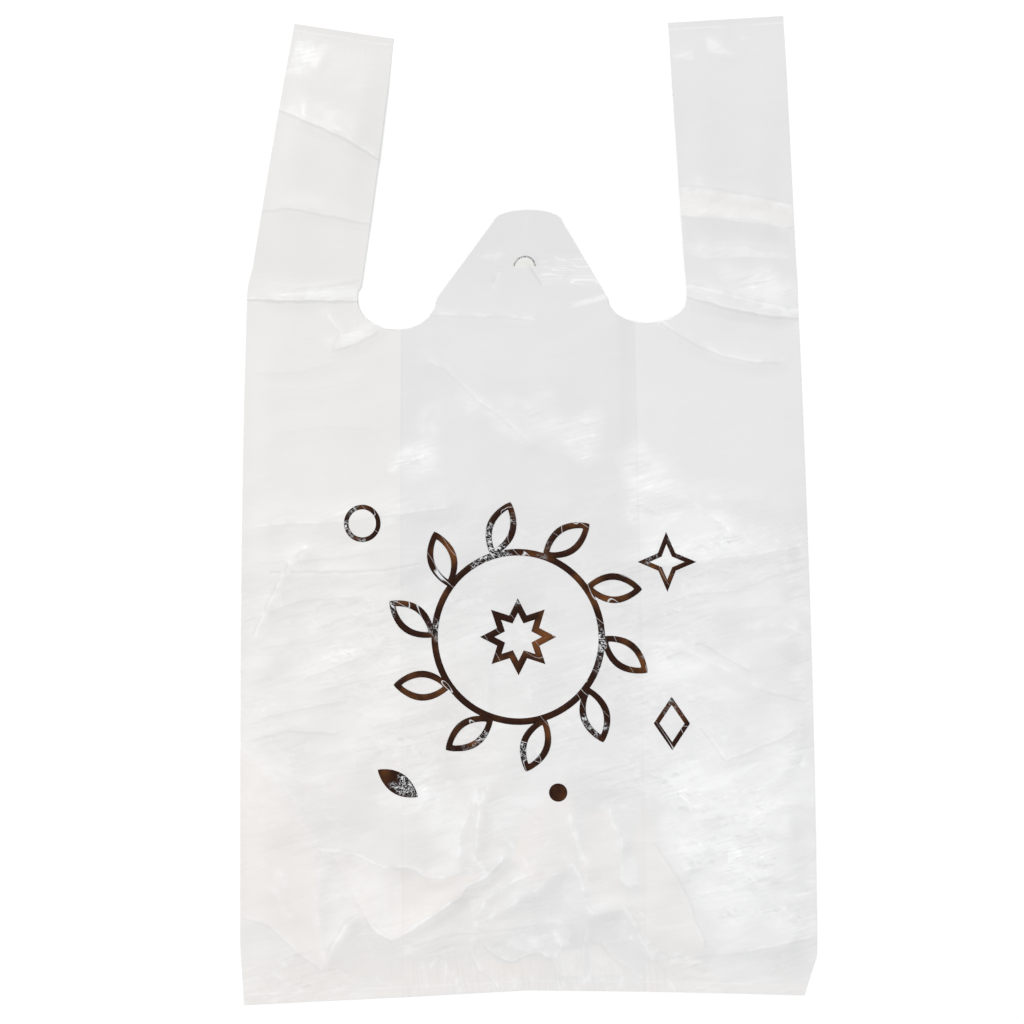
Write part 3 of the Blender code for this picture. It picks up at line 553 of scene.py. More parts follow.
def on_table(u, v):
    """Where a point of the flat film lies on the table, seen from above.

    The sides draw in towards the handles along a curve, the bottom edge waves, its corners are
    tucked, and each handle leans about the middle of its base and changes in width.
    """
    share = 0.5 + u / BAG_WIDTH
    height = np.clip(v / HANDLE_BASE, 0.0, 1.0)
    left = LEFT_DRAWN_IN * height**LEFT_DRAWN_CURVE
    right = RIGHT_DRAWN_IN * height**RIGHT_DRAWN_CURVE
    across = u + left * (1 - share) - right * share
    tucks = ((-1, LEFT_TUCK, LEFT_TUCK_HEIGHT), (1, RIGHT_TUCK, RIGHT_TUCK_HEIGHT))
    for side, tuck, tuck_height in tucks:
        tucked = tuck * np.clip(1 - v / tuck_height, 0.0, 1.0)
        across = across - side * tucked * ramp(side * u, HALF_WIDTH - TUCK_WIDTH, HALF_WIDTH)

    near_bottom = np.clip(1 - v / BOTTOM_LINE_FADE, 0.0, 1.0) ** 2
    folds = (-HALF_WIDTH, -INNER_FOLD, 0.0, INNER_FOLD, HALF_WIDTH)
    along = v + np.interp(u, folds, BOTTOM_LINE) * near_bottom

    bend = ramp(v, HANDLE_BASE, HANDLE_BASE + HANDLE_BEND)
    middle = HALF_WIDTH - HANDLE_WIDTH / 2
    above_base = np.clip(v - HANDLE_BASE, 0.0, None)
    handles = (
        (-1, LEFT_HANDLE_LEAN, LEFT_HANDLE_DRAWN_DOWN, LEFT_HANDLE_GATHER, 2),
        (1, RIGHT_HANDLE_LEAN, 0.0, -RIGHT_HANDLE_SPREAD, 1),
    )
    for side, lean, drawn, gather, curve in handles:
        weight = bend * (side * u > ON_HANDLE)
        narrowed = gather * weight * (above_base / HANDLE_LENGTH) ** curve
        across = across - (u - side * middle) * narrowed
        across, along = turn(across, along, side * middle, HANDLE_BASE, lean * weight)
        along = along - drawn * weight
    on_tab = above_base * (abs(u) < ON_HANDLE)
    return across - math.tan(TAB_LEAN) * on_tab, along - BAG_LENGTH / 2


def pitch(v):
    """The distance from one layer to the next, which closes to almost nothing at the welds."""
    bottom = BOTTOM_WELD_INSET
    top = BAG_LENGTH - HANDLE_WELD_INSET
    half = WELD_WIDTH
    heights = (0.0, bottom - half, bottom + half, bottom + SETTLE_LENGTH)
    heights += (top - SETTLE_LENGTH, top - half, top + half, BAG_LENGTH)
    pitches = (EDGE_PITCH, WELD_PITCH, WELD_PITCH, LAYER_PITCH)
    pitches += (LAYER_PITCH, WELD_PITCH, WELD_PITCH, EDGE_PITCH)
    return np.interp(v, heights, pitches)


def beside_stretch(x, y, start, end):
    """How far places lie from a straight stretch and its ends, positive on the right of its run."""
    run_x, run_y = end - start
    length = math.hypot(run_x, run_y)
    share = ((x - start[0]) * run_x + (y - start[1]) * run_y) / length**2
    signed = ((x - start[0]) * run_y - (y - start[1]) * run_x) / length
    past = np.clip(abs(share - 0.5) - 0.5, 0.0, None) * length
    return np.copysign(np.hypot(signed, past), signed)


def crease_field(x, y):
    """The creases' height, and of the nearest crest: its distance, painted highlight and lean.

    A ridge falls from its crest as a power of the distance, and the crest is rounded a little.
    The distance is positive on the right of the run. All are measured from a wobbling place.
    """
    near, far = WOBBLE_LENGTHS
    wave = np.sin(y * 2 * math.pi / near + 2 * np.sin(x * 2 * math.pi / far))
    x, y = x + WOBBLE * wave, y + WOBBLE * np.cos(x * 2 * math.pi / near + 2 * wave)
    height = np.zeros_like(x)
    nearest = np.full_like(x, 1.0)
    white = np.zeros_like(x)
    leaning = np.zeros_like(x)
    for shows, crest, half_width, lean, run in CREASES:
        points = np.array(run) / 1000
        away = np.full_like(x, 1.0)
        for start, end in zip(points[:-1], points[1:]):
            distance = beside_stretch(x, y, start, end)
            away = np.where(abs(distance) < abs(away), distance, away)
        rounded = np.sqrt(away**2 + CREST_ROUND**2) - CREST_ROUND
        wide = half_width / 1000 * np.where(away > 0, 1 - 0.5 * lean, 1 + 0.5 * lean)
        ridge = crest / 1000 * np.clip(1 - rounded / wide, 0.0, 1.0) ** RIDGE_POWER
        height = np.maximum(height, ridge)
        closer = abs(away) < abs(nearest)
        nearest = np.where(closer, away, nearest)
        white = np.where(closer, shows, white)
        leaning = np.where(closer, lean, leaning)
    return height, nearest, white, leaning


def depth_in(outlines, x, y):
    """How far inside the nearest of some outlines each place is, negative outside all of them.

    A place is inside where a line to the right crosses the outline an odd number of times.
    """
    deepest = np.full_like(x, -1.0)
    for outline in outlines:
        corners = np.array(outline) / 1000
        inside = np.zeros(x.shape, dtype=bool)
        nearest = np.full_like(x, 1.0)
        for start, end in zip(corners, np.roll(corners, -1, axis=0)):
            nearest = np.minimum(nearest, abs(beside_stretch(x, y, start, end)))
            run_x, run_y = end - start
            if run_y:
                crosses = (start[1] > y) != (end[1] > y)
                inside ^= crosses & (x < start[0] + (y - start[1]) * run_x / run_y)
        deepest = np.maximum(deepest, np.where(inside, nearest, -nearest))
    return deepest


def cell_distance(x, y, spacing, draw):
    """Distance to the nearest of many scattered points, one in each square of a loose grid."""
    reach_x = np.arange(-HALF_WIDTH - spacing, HALF_WIDTH + 2 * spacing, spacing)
    reach_y = np.arange(-BAG_LENGTH / 2 - spacing, BAG_LENGTH / 2 + 2 * spacing, spacing)
    seeds_x, seeds_y = np.meshgrid(reach_x, reach_y)
    seeds_x = (seeds_x + draw.uniform(-0.5, 0.5, seeds_x.shape) * spacing).ravel()
    seeds_y = (seeds_y + draw.uniform(-0.5, 0.5, seeds_y.shape) * spacing).ravel()
    nearest = np.full(x.shape, 1.0)
    for seed_x, seed_y in zip(seeds_x, seeds_y):
        nearest = np.minimum(nearest, np.hypot(x - seed_x, y - seed_y))
    return nearest


def in_lower_half(y):
    """1 in the lower half of the front, 0 in the upper, with a smooth change between them."""
    return 1 - ramp(y, CRUMPLE_FULL, CRUMPLE_END)


def relief(x, y):
    """Height of the front panel above its smooth level, never below 0.

    It is the creases, one long wave, two crossed waves in the lower half, and facets, whose ridges
    stand where two scattered points are as near. The facets are steepest in the lower half.
    """
    height = crease_field(x, y)[0]
    wave = 0.5 + 0.5 * np.cos((y + BILLOW_SLANT * x) * 2 * math.pi / BILLOW_LENGTH)
    lower = in_lower_half(y)
    wave_1 = np.sin((x + CRUMPLE_SLANTS[0] * y) * 2 * math.pi / CRUMPLE_LENGTH)
    wave_2 = np.sin((y - CRUMPLE_SLANTS[1] * x) * 2 * math.pi / CRUMPLE_LENGTH + CRUMPLE_SHIFT)
    crumple = (0.5 + 0.5 * wave_1 * wave_2) * lower
    height = height + BILLOW * wave + CRUMPLE * crumple
    everywhere, more_below, more_on_handles = CRUMPLE_SHARES
    crumpled = everywhere + more_below * lower + more_on_handles * ramp(y, *CRUMPLE_HANDLES)
    draw = np.random.default_rng(FACET_SEED)
    for spacing, slope in zip(FACET_SPACINGS, FACET_SLOPES):
        away = cell_distance(x, y, spacing, draw)
        height = height + slope * crumpled * (np.hypot(away, FACET_PIT) - FACET_PIT)
    return height


def front_level(u, v):
    """Height of the front panel's middle surface: its layers, then its creases."""
    x, y = on_table(u, v)
    layers = 1 + 2 * ramp(abs(u), INNER_FOLD - PANEL_DROP, INNER_FOLD - PANEL_DROP_END)
    from_weld = np.minimum(v - BOTTOM_WELD_INSET, BAG_LENGTH - HANDLE_WELD_INSET - v)
    free = ramp(from_weld, WELD_WIDTH, SETTLE_LENGTH)
    free = free * ramp(HALF_WIDTH - abs(u), FOLD_PRESSED, FOLD_FREE)
    handle = ramp(v, HANDLE_BASE - HANDLE_BEND, HANDLE_BASE)
    cut_edge = ramp(abs(u) - HANDLE_INNER, 0.0, FOLD_FREE)
    free = free * (1 - CUT_EDGE_PRESSED * handle * (1 - cut_edge))
    layers = FRONT_LAYER + (layers - FRONT_LAYER) * free
    return FILM_THICKNESS / 2 + layers * pitch(v) + relief(x, y) * free


def panel_columns(step, notch_columns, crown_columns):
    """Places u across a panel, from the left fold to the right, close where the die line curves."""
    notch_end = HANDLE_INNER - NOTCH_WIDTH
    half_top = TAB_TOP_WIDTH / 2
    notch_turn = np.linspace(0.0, math.pi, notch_columns + 1)
    crown_turn = np.linspace(0.0, math.pi / 2, crown_columns + 1)
    half = np.concatenate(
        (
            evenly(HALF_WIDTH, HANDLE_INNER, step)[:-1],
            HANDLE_INNER - NOTCH_WIDTH / 2 * (1 - np.cos(notch_turn)),
            evenly(notch_end, half_top, step)[1:-1],
            half_top * np.cos(crown_turn),
        )
    )
    half[-1] = 0.0
    return np.concatenate((-half, half[-2::-1]))


def mouth_line(u):
    """Height v of the die's cut: round each notch, up the tab's slopes and over its crown."""
    away = abs(u)
    notch_end = HANDLE_INNER - NOTCH_WIDTH
    half_top = TAB_TOP_WIDTH / 2
    crown_base = HANDLE_BASE + TAB_HEIGHT - TAB_CROWN
    in_notch = np.clip((away - notch_end) / NOTCH_WIDTH * 2 - 1, -1.0, 1.0)
    depth = np.where(u < 0, LEFT_NOTCH_DEPTH, RIGHT_NOTCH_DEPTH)
    notch = HANDLE_BASE - depth * np.sqrt(1 - in_notch**2)
    slope = np.interp(away, (half_top, notch_end), (crown_base, HANDLE_BASE))
    crown = crown_base + TAB_CROWN * np.sqrt(1 - np.clip(away / half_top, 0.0, 1.0) ** 2)
    return np.where(away < half_top, crown, np.where(away < notch_end, slope, notch))


def fold_section():
    """The gusseted section as a closed path of columns: place u, layer, and step back from a fold.

    The front panel's columns are close and those of the layers under it far apart. A fold has
    three columns: the end of one layer, the turn halfway between the layers, and the end of the
    next. The ends stand half a layer pitch back from the turn.
    """
    front = panel_columns(FRONT_CELL, NOTCH_COLUMNS, CROWN_COLUMNS)
    back = panel_columns(HIDDEN_COLUMN, NOTCH_COLUMNS // 2, CROWN_COLUMNS // 3)
    gusset = back[back > INNER_FOLD + HIDDEN_COLUMN / 4][:-1]
    runs = (
        (back[1:-1], 0, 0),
        ([HALF_WIDTH] * 3, (0, 0.5, 1), (-1, 0, -1)),
        (gusset[::-1], 1, 0),
        ([INNER_FOLD] * 3, (1, 1.5, 2), (1, 0, 1)),
        (gusset, 2, 0),
        ([HALF_WIDTH] * 3, (2, 2.5, 3), (-1, 0, -1)),
        (front[-2:0:-1], FRONT_LAYER, 0),
        ([-HALF_WIDTH] * 3, (3, 2.5, 2), (1, 0, 1)),
        (-gusset[::-1], 2, 0),
        ([-INNER_FOLD] * 3, (2, 1.5, 1), (-1, 0, -1)),
        (-gusset, 1, 0),
        ([-HALF_WIDTH] * 3, (1, 0.5, 0), (1, 0, 1)),
    )
    kinds = [[np.broadcast_to(run[i], len(run[0])) for run in runs] for i in range(3)]
    u, layer, back_off = (np.concatenate(kind).astype(float) for kind in kinds)
    return u, layer, back_off


def film_rows():
    """Heights v of the rows: close at the welds, then even up to the shoulder and on the handles.

    It gives the rows under the shoulder, the number of rows in it, and the rows of the handles.
    """
    bottom = BOTTOM_WELD_INSET
    top = BAG_LENGTH - HANDLE_WELD_INSET
    half = WELD_WIDTH / 2
    foot = (0.0, bottom / 2, bottom - 2 * half, bottom - half, bottom, bottom + half)
    body = np.concatenate((foot, evenly(bottom + 2 * half, HANDLE_BASE - SHOULDER, FRONT_CELL)))
    head = (top - half, top, top + half, top + 2 * half, BAG_LENGTH)
    handle = np.concatenate((evenly(HANDLE_BASE, top - 2 * half, FRONT_CELL)[1:], head))
    return body, round(SHOULDER / FRONT_CELL), handle


def grid_quads(rows, columns, closed):
    """The corners of a grid's cells; a closed grid joins the end of its rows to their start."""
    cells = columns if closed else columns - 1
    row, column = np.meshgrid(np.arange(rows - 1), np.arange(cells), indexing="ij")
    beside = (column + 1) % columns
    low = row * columns
    high = low + columns
    return np.stack((low + column, low + beside, high + beside, high + column), axis=-1)


def write_mesh(name, points, quads, flat):
    """A mesh of quads, each split along the same diagonal, with its flat coordinates as its UV."""
    faces = np.concatenate((quads[:, (0, 1, 2)], quads[:, (0, 2, 3)]))
    mesh = bpy.data.meshes.new(name)
    mesh.vertices.add(len(points))
    mesh.vertices.foreach_set("co", points.astype(np.float32).ravel())
    mesh.loops.add(faces.size)
    mesh.loops.foreach_set("vertex_index", faces.ravel().astype(np.int32))
    mesh.polygons.add(len(faces))
    mesh.polygons.foreach_set("loop_start", np.arange(0, faces.size, 3, dtype=np.int32))
    mesh.update(calc_edges=True)
    layer = mesh.uv_layers.new(name="flat")
    layer.uv.foreach_set("vector", flat[faces.ravel()].astype(np.float32).ravel())
    mesh.shade_smooth()
    mesh.validate()
    return mesh


def write_attribute(mesh, name, values):
    """A value for each vertex: one number, or three for a vector."""
    kind = "FLOAT" if values.ndim == 1 else "FLOAT_VECTOR"
    field = "value" if values.ndim == 1 else "vector"
    held = mesh.attributes.new(name, kind, "POINT")
    held.data.foreach_set(field, values.astype(np.float32).ravel())


def film_mesh():
    """The film's middle surface: rows and columns wrapped round the section, laid on the table.

    Over the mouth the cells that aren't a handle's are left out, and the rows under it bend up to
    its line through the shoulder.
    """
    u, layer, back_off = fold_section()
    body, shoulder_rows, handle = film_rows()
    columns = len(u)
    share = np.linspace(0.0, 1.0, shoulder_rows + 1)[1:, None]
    start = HANDLE_BASE - SHOULDER
    shoulder = start + share * (mouth_line(u) - start)
    along = np.concatenate(
        (np.tile(body[:, None], columns), shoulder, np.tile(handle[:, None], columns))
    )
    across = u + back_off * pitch(along) / 2
    level = FILM_THICKNESS / 2 + layer * pitch(along)
    front = layer == FRONT_LAYER
    level[:, front] = front_level(across[:, front], along[:, front])
    x, y = on_table(across, along)

    quads = grid_quads(len(along), columns, closed=True)
    off_handle = abs(u) < ON_HANDLE
    kept = np.ones(quads.shape[:2], dtype=bool)
    kept[len(body) + shoulder_rows - 1 :, off_handle | np.roll(off_handle, -1)] = False
    quads = quads[kept]
    used = np.unique(quads)
    renumber = np.zeros(along.size, dtype=int)
    renumber[used] = np.arange(len(used))
    points = np.stack((x, y, level), axis=-1).reshape(-1, 3)[used]
    flat = np.stack((across, along), axis=-1).reshape(-1, 2)[used]
    shift = film_shift(points)
    points[:, :2] += shift
    mesh = write_mesh("film_sheet", points, renumber[quads], flat)

    lying = on_table(flat[:, 0], flat[:, 1])
    _, side, white, leaning = crease_field(*lying)
    write_attribute(mesh, "crest", np.stack((side, abs(side), white), axis=-1))
    write_attribute(mesh, "lean", leaning)
    kinds = (WARM_FACETS, GREY_FACETS, BRIGHT_FACETS)
    write_attribute(mesh, "facets", np.stack([depth_in(kind, *lying) for kind in kinds], axis=-1))
    write_attribute(mesh, "sheen", depth_in(SHEEN, *lying))
    return mesh, shift


def film_shift(points):
    """How far the laid film moves so that its outline's middle is where the frame has it."""
    middle = (points[:, :2].min(axis=0) + points[:, :2].max(axis=0)) / 2
    wanted = (np.array(film_low)[:2] + np.array(film_high)[:2]) / 2
    return wanted - middle


def slit_die(shift):
    """The die of the hanging slit: a narrow band along an arc, raised through every layer."""
    angles = np.linspace(math.pi / 2 - SLIT_SWEEP / 2, math.pi / 2 + SLIT_SWEEP / 2, SLIT_STEPS + 1)
    middle = HANDLE_BASE + SLIT_RISE
    rings = []
    for radius in (SLIT_RADIUS - SLIT_WIDTH / 2, SLIT_RADIUS + SLIT_WIDTH / 2):
        x, y = on_table(radius * np.cos(angles), middle + radius * np.sin(angles))
        for z in (-DIE_REACH, DIE_REACH):
            rings.append(np.stack((x + shift[0], y + shift[1], np.full_like(x, z)), axis=-1))
    points = np.concatenate(rings)
    count = SLIT_STEPS + 1
    i = np.arange(SLIT_STEPS)
    inner_low, inner_high, outer_low, outer_high = (i + k * count for k in range(4))
    sides = (
        (inner_low, inner_low + 1, inner_high + 1, inner_high),
        (outer_low + 1, outer_low, outer_high, outer_high + 1),
        (inner_low + 1, inner_low, outer_low, outer_low + 1),
        (inner_high, inner_high + 1, outer_high + 1, outer_high),
    )
    faces = np.concatenate([np.stack(side, axis=-1) for side in sides]).tolist()
    first = (0, count, 3 * count, 2 * count)
    last = tuple(k + SLIT_STEPS for k in reversed(first))
    mesh = bpy.data.meshes.new("slit_die")
    mesh.from_pydata(points.tolist(), [], faces + [first, last])
    mesh.update()
    return bpy.data.objects.new("slit_die", mesh)


def finished_mesh(piece, name):
    """The piece's mesh as its modifiers leave it, with its UV map and attributes."""
    depsgraph = bpy.context.evaluated_depsgraph_get()
    mesh = bpy.data.meshes.new_from_object(
        piece.evaluated_get(depsgraph), preserve_all_data_layers=True, depsgraph=depsgraph
    )
    mesh.name = name
    return mesh


def add_thickness(piece, thickness):
    """A wall round the piece's surface, half of it on each side, closed at the edges."""
    modifier = piece.modifiers.new("thickness", "SOLIDIFY")
    modifier.thickness = thickness
    modifier.offset = 0.0
    modifier.use_rim = True


def values_of(tree, sockets):
    """Each of these output sockets as a value."""
    return [Value(tree, socket) for socket in sockets]


def parts_of(vector):
    """A vector's three numbers."""
    parts = add_node(vector.tree, "ShaderNodeSeparateXYZ", {0: vector})
    return values_of(vector.tree, parts.outputs)


def attribute(tree, name, output="Fac"):
    """What the mesh's attribute of this name holds, as a number or as a vector."""
    return result_of(tree, "ShaderNodeAttribute", {}, output, attribute_name=name)


def noise(place, scale, detail, distortion=0.0, output="Fac"):
    """A cloudy pattern of so many clouds a metre, from 0 to 1 and mostly near the middle."""
    inputs = {"Vector": place, "Scale": scale, "Detail": detail, "Distortion": distortion}
    return result_of(place.tree, "ShaderNodeTexNoise", inputs, output)


def fade(value, start, end, low=0.0, high=1.0):
    """A number that runs smoothly from low to high while another one goes from start to end."""
    inputs = {"Value": value, "From Min": start, "From Max": end, "To Min": low, "To Max": high}
    kind = "ShaderNodeMapRange"
    return result_of(value.tree, kind, inputs, interpolation_type="SMOOTHSTEP")


def mix_colour(factor, first, second):
    """One colour mixed into another. The node's colour sockets go by number: 6, 7 and output 2."""
    inputs = {0: factor, 6: first, 7: second}
    return result_of(factor.tree, "ShaderNodeMix", inputs, 2, data_type="RGBA")


def stretched(place, angle, scale, stretch):
    """A place turned about z, then times the scale across, and times scale and stretch along."""
    turned = {"Vector": place, "Angle": angle}
    turned = result_of(place.tree, "ShaderNodeVectorRotate", turned, rotation_type="Z_AXIS")
    size = {"X": scale, "Y": scale * stretch, "Z": 1.0}
    return turned * result_of(place.tree, "ShaderNodeCombineXYZ", size)


def new_group(name, numbers, outputs):
    """A node group with these outputs, and the place and the numbers that are given to it."""
    group = bpy.data.node_groups.new(name, "ShaderNodeTree")
    group.interface.new_socket("Place", in_out="INPUT", socket_type="NodeSocketVector")
    for number in numbers:
        group.interface.new_socket(number, in_out="INPUT", socket_type="NodeSocketFloat")
    for output, kind in outputs.items():
        group.interface.new_socket(output, in_out="OUTPUT", socket_type=kind)
    inside = add_node(group, "NodeGroupInput", {}).outputs
    return group, values_of(group, inside[: 1 + len(numbers)])


def facets_group():
    """Flat facets of crumpled film: each cell of a stretched pattern tilts its own way.

    Tilted is what a cell adds to the normal, sideways only, and Chance is its own number, 0 to 1.
    """
    outputs = {"Tilted": "NodeSocketVector", "Chance": "NodeSocketFloat"}
    group, given = new_group("film_facets", ("Turn", "Scale", "Stretch", "Tilt"), outputs)
    place, angle, scale, stretch, tilt = given
    centred = noise(place, WARP_SCALE, 2.0, output="Color") - HALF_WAY
    moved = centred.math("MULTIPLY_ADD", WARP_REACH, place)
    cells = {"Vector": stretched(moved, angle, scale, stretch), "Scale": 1.0}
    draw = result_of(group, "ShaderNodeTexVoronoi", cells, "Color")
    sideways = result_of(group, "ShaderNodeCombineXYZ", {"X": tilt, "Y": tilt})
    tilted = (draw - HALF_WAY) * sideways
    add_node(group, "NodeGroupOutput", {"Tilted": tilted, "Chance": parts_of(draw)[2]})


def streaks_group():
    """Crooked streaks of crumpled film: lines where a stretched noise crosses its middle value.

    Mask is 1 on a line. Height is a ridge there whose sides fall with about the given slope.
    """
    outputs = {"Mask": "NodeSocketFloat", "Height": "NodeSocketFloat"}
    numbers = ("Turn", "Scale", "Stretch", "Thin", "Slope")
    group, (place, angle, scale, stretch, thin, slope) = new_group("film_streaks", numbers, outputs)
    away = abs(noise(stretched(place, angle, scale, stretch), 1.0, 1.0, 0.2) - 0.5)
    height = away * (slope / (scale * stretch)) * -1.0
    add_node(group, "NodeGroupOutput", {"Mask": fade(away, 0.0, thin, 1.0, 0.0), "Height": height})


def use_group(name, place, numbers):
    """The two outputs of a node group that is given this place and these numbers."""
    group = bpy.data.node_groups[name]
    node = add_node(place.tree, "ShaderNodeGroup", {"Place": place} | numbers, node_tree=group)
    return values_of(place.tree, node.outputs)


def set_surface(colour, height, roughness, specular, **normal):
    """A glossy surface of this colour, with a height in metres as its fine relief."""
    bump = {"Height": height, "Strength": 1.0, "Distance": 1.0} | normal
    inputs = {
        "Base Color": colour,
        "Normal": result_of(colour.tree, "ShaderNodeBump", bump),
        "Roughness": roughness,
        "Specular IOR Level": specular,
    }
    shader = result_of(colour.tree, "ShaderNodeBsdfPrincipled", inputs)
    add_node(colour.tree, "ShaderNodeOutputMaterial", {"Surface": shader})


def slit_shadow_and_light(tone, across, middle):
    """Painted shadow round the slit, a little blue, and painted light on the flap under it, a
    little warm.

    Places are measured from the middle of the slit's arc.
    """
    place = result_of(across.tree, "ShaderNodeCombineXYZ", {"X": across, "Y": middle})
    from_slit = place.math("LENGTH", output="Value")
    # The ring is the painted shadow round the slit, and the flap gets painted light
    ring = fade(from_slit, SLIT_RADIUS, SLIT_RADIUS + 0.0006)
    ring *= fade(from_slit, SLIT_RADIUS + 0.0012, SLIT_RADIUS + 0.0032, 1.0, 0.0)
    ring *= fade(middle, -0.002, 0.002) * fade(across, -0.004, 0.004, 0.3, 1.0)
    flap = fade(from_slit, SLIT_RADIUS, SLIT_RADIUS - 0.0012) * fade(middle, -0.001, 0.001)
    return mix_colour(flap, mix_colour(ring * 0.40, tone, SLIT_SHADOW_TONE), FLAP_LIGHT_TONE)


def tab_ripple_highlights(flat, across, middle, worn):
    """How much painted highlight the level ripples get that draw the tab in, right of the slit."""
    ripples, _ = use_group("film_streaks", flat, TAB_RIPPLES)
    beside = fade(middle, 0.0085, 0.0045) * fade(middle, -0.011, -0.007)
    beside *= fade(ripples, 0.2, 0.8, 0.22, 0.95)
    slanting = across.math("MULTIPLY_ADD", -0.26, middle)
    lowest = fade(slanting, -0.0243, -0.0262) * fade(slanting, -0.0290, -0.0272)
    lowest *= fade(across, 0.022, 0.034, 0.0, 0.6)
    on_tab = fade(abs(across), 0.055, 0.050) * fade(across, 0.006, 0.014)
    return largest(beside, lowest) * on_tab * fade(worn, 0.36, 0.56, 0.35, 1.0)


def fold_marks(across, along, inwards):
    """How dark the inner fold shows: a faint line, with a soft shade inside it at the right.

    Inwards is the distance from the middle, measured so that both inner folds are at INNER_FOLD.
    """
    fold = fade(abs(inwards - (INNER_FOLD - 0.0008)), 0.0002, 0.0009, FOLD_DARK, 0.0)
    fold *= fade(along, 0.16, 0.28, 0.5, 1.0)
    shade = fade(inwards, INNER_FOLD - 0.012, INNER_FOLD - 0.007)
    shade *= fade(inwards, INNER_FOLD - 0.0030, INNER_FOLD, 1.0, 0.0)
    shade *= fade(along, 0.270, 0.310) * fade(across, 0.0, SIDE_BLEND) * SHADE_DARK
    return fold + shade


def crest_highlights_and_shade(tree, worn, broken):
    """How much painted highlight and painted shade each crest gets.

    Each has a crooked line of painted highlight in a soft band of painted light, and a leaning
    crest has painted shade on one side.
    """
    side, near, shows = parts_of(attribute(tree, "crest", "Vector"))
    lean = attribute(tree, "lean")
    crooked = abs(side) + fade(worn, 0.36, 0.64, 0.0004, -0.0005)
    line = fade(crooked, 0.0, LINE_REACH, CREST_LINE_HIGHLIGHT, 0.0) * shows * broken
    line *= fade(near, CREST_REACH * 0.72, CREST_REACH, 1.0, 0.0)
    halo = fade(near, 0.0, HALO_REACH, 1.0, 0.0) * shows * fade(worn, 0.40, 0.62, *CREST_HALO_HIGHLIGHT)
    steep = side * lean.math("SIGN")
    dark = fade(steep, 0.0003, 0.0009) * fade(steep, 0.0009, LEAN_REACH, 1.0, 0.0)
    dark *= abs(lean) * fade(near, 0.0020, LEAN_REACH, 1.0, 0.0) * LEAN_SHADE
    return largest(line, halo), dark


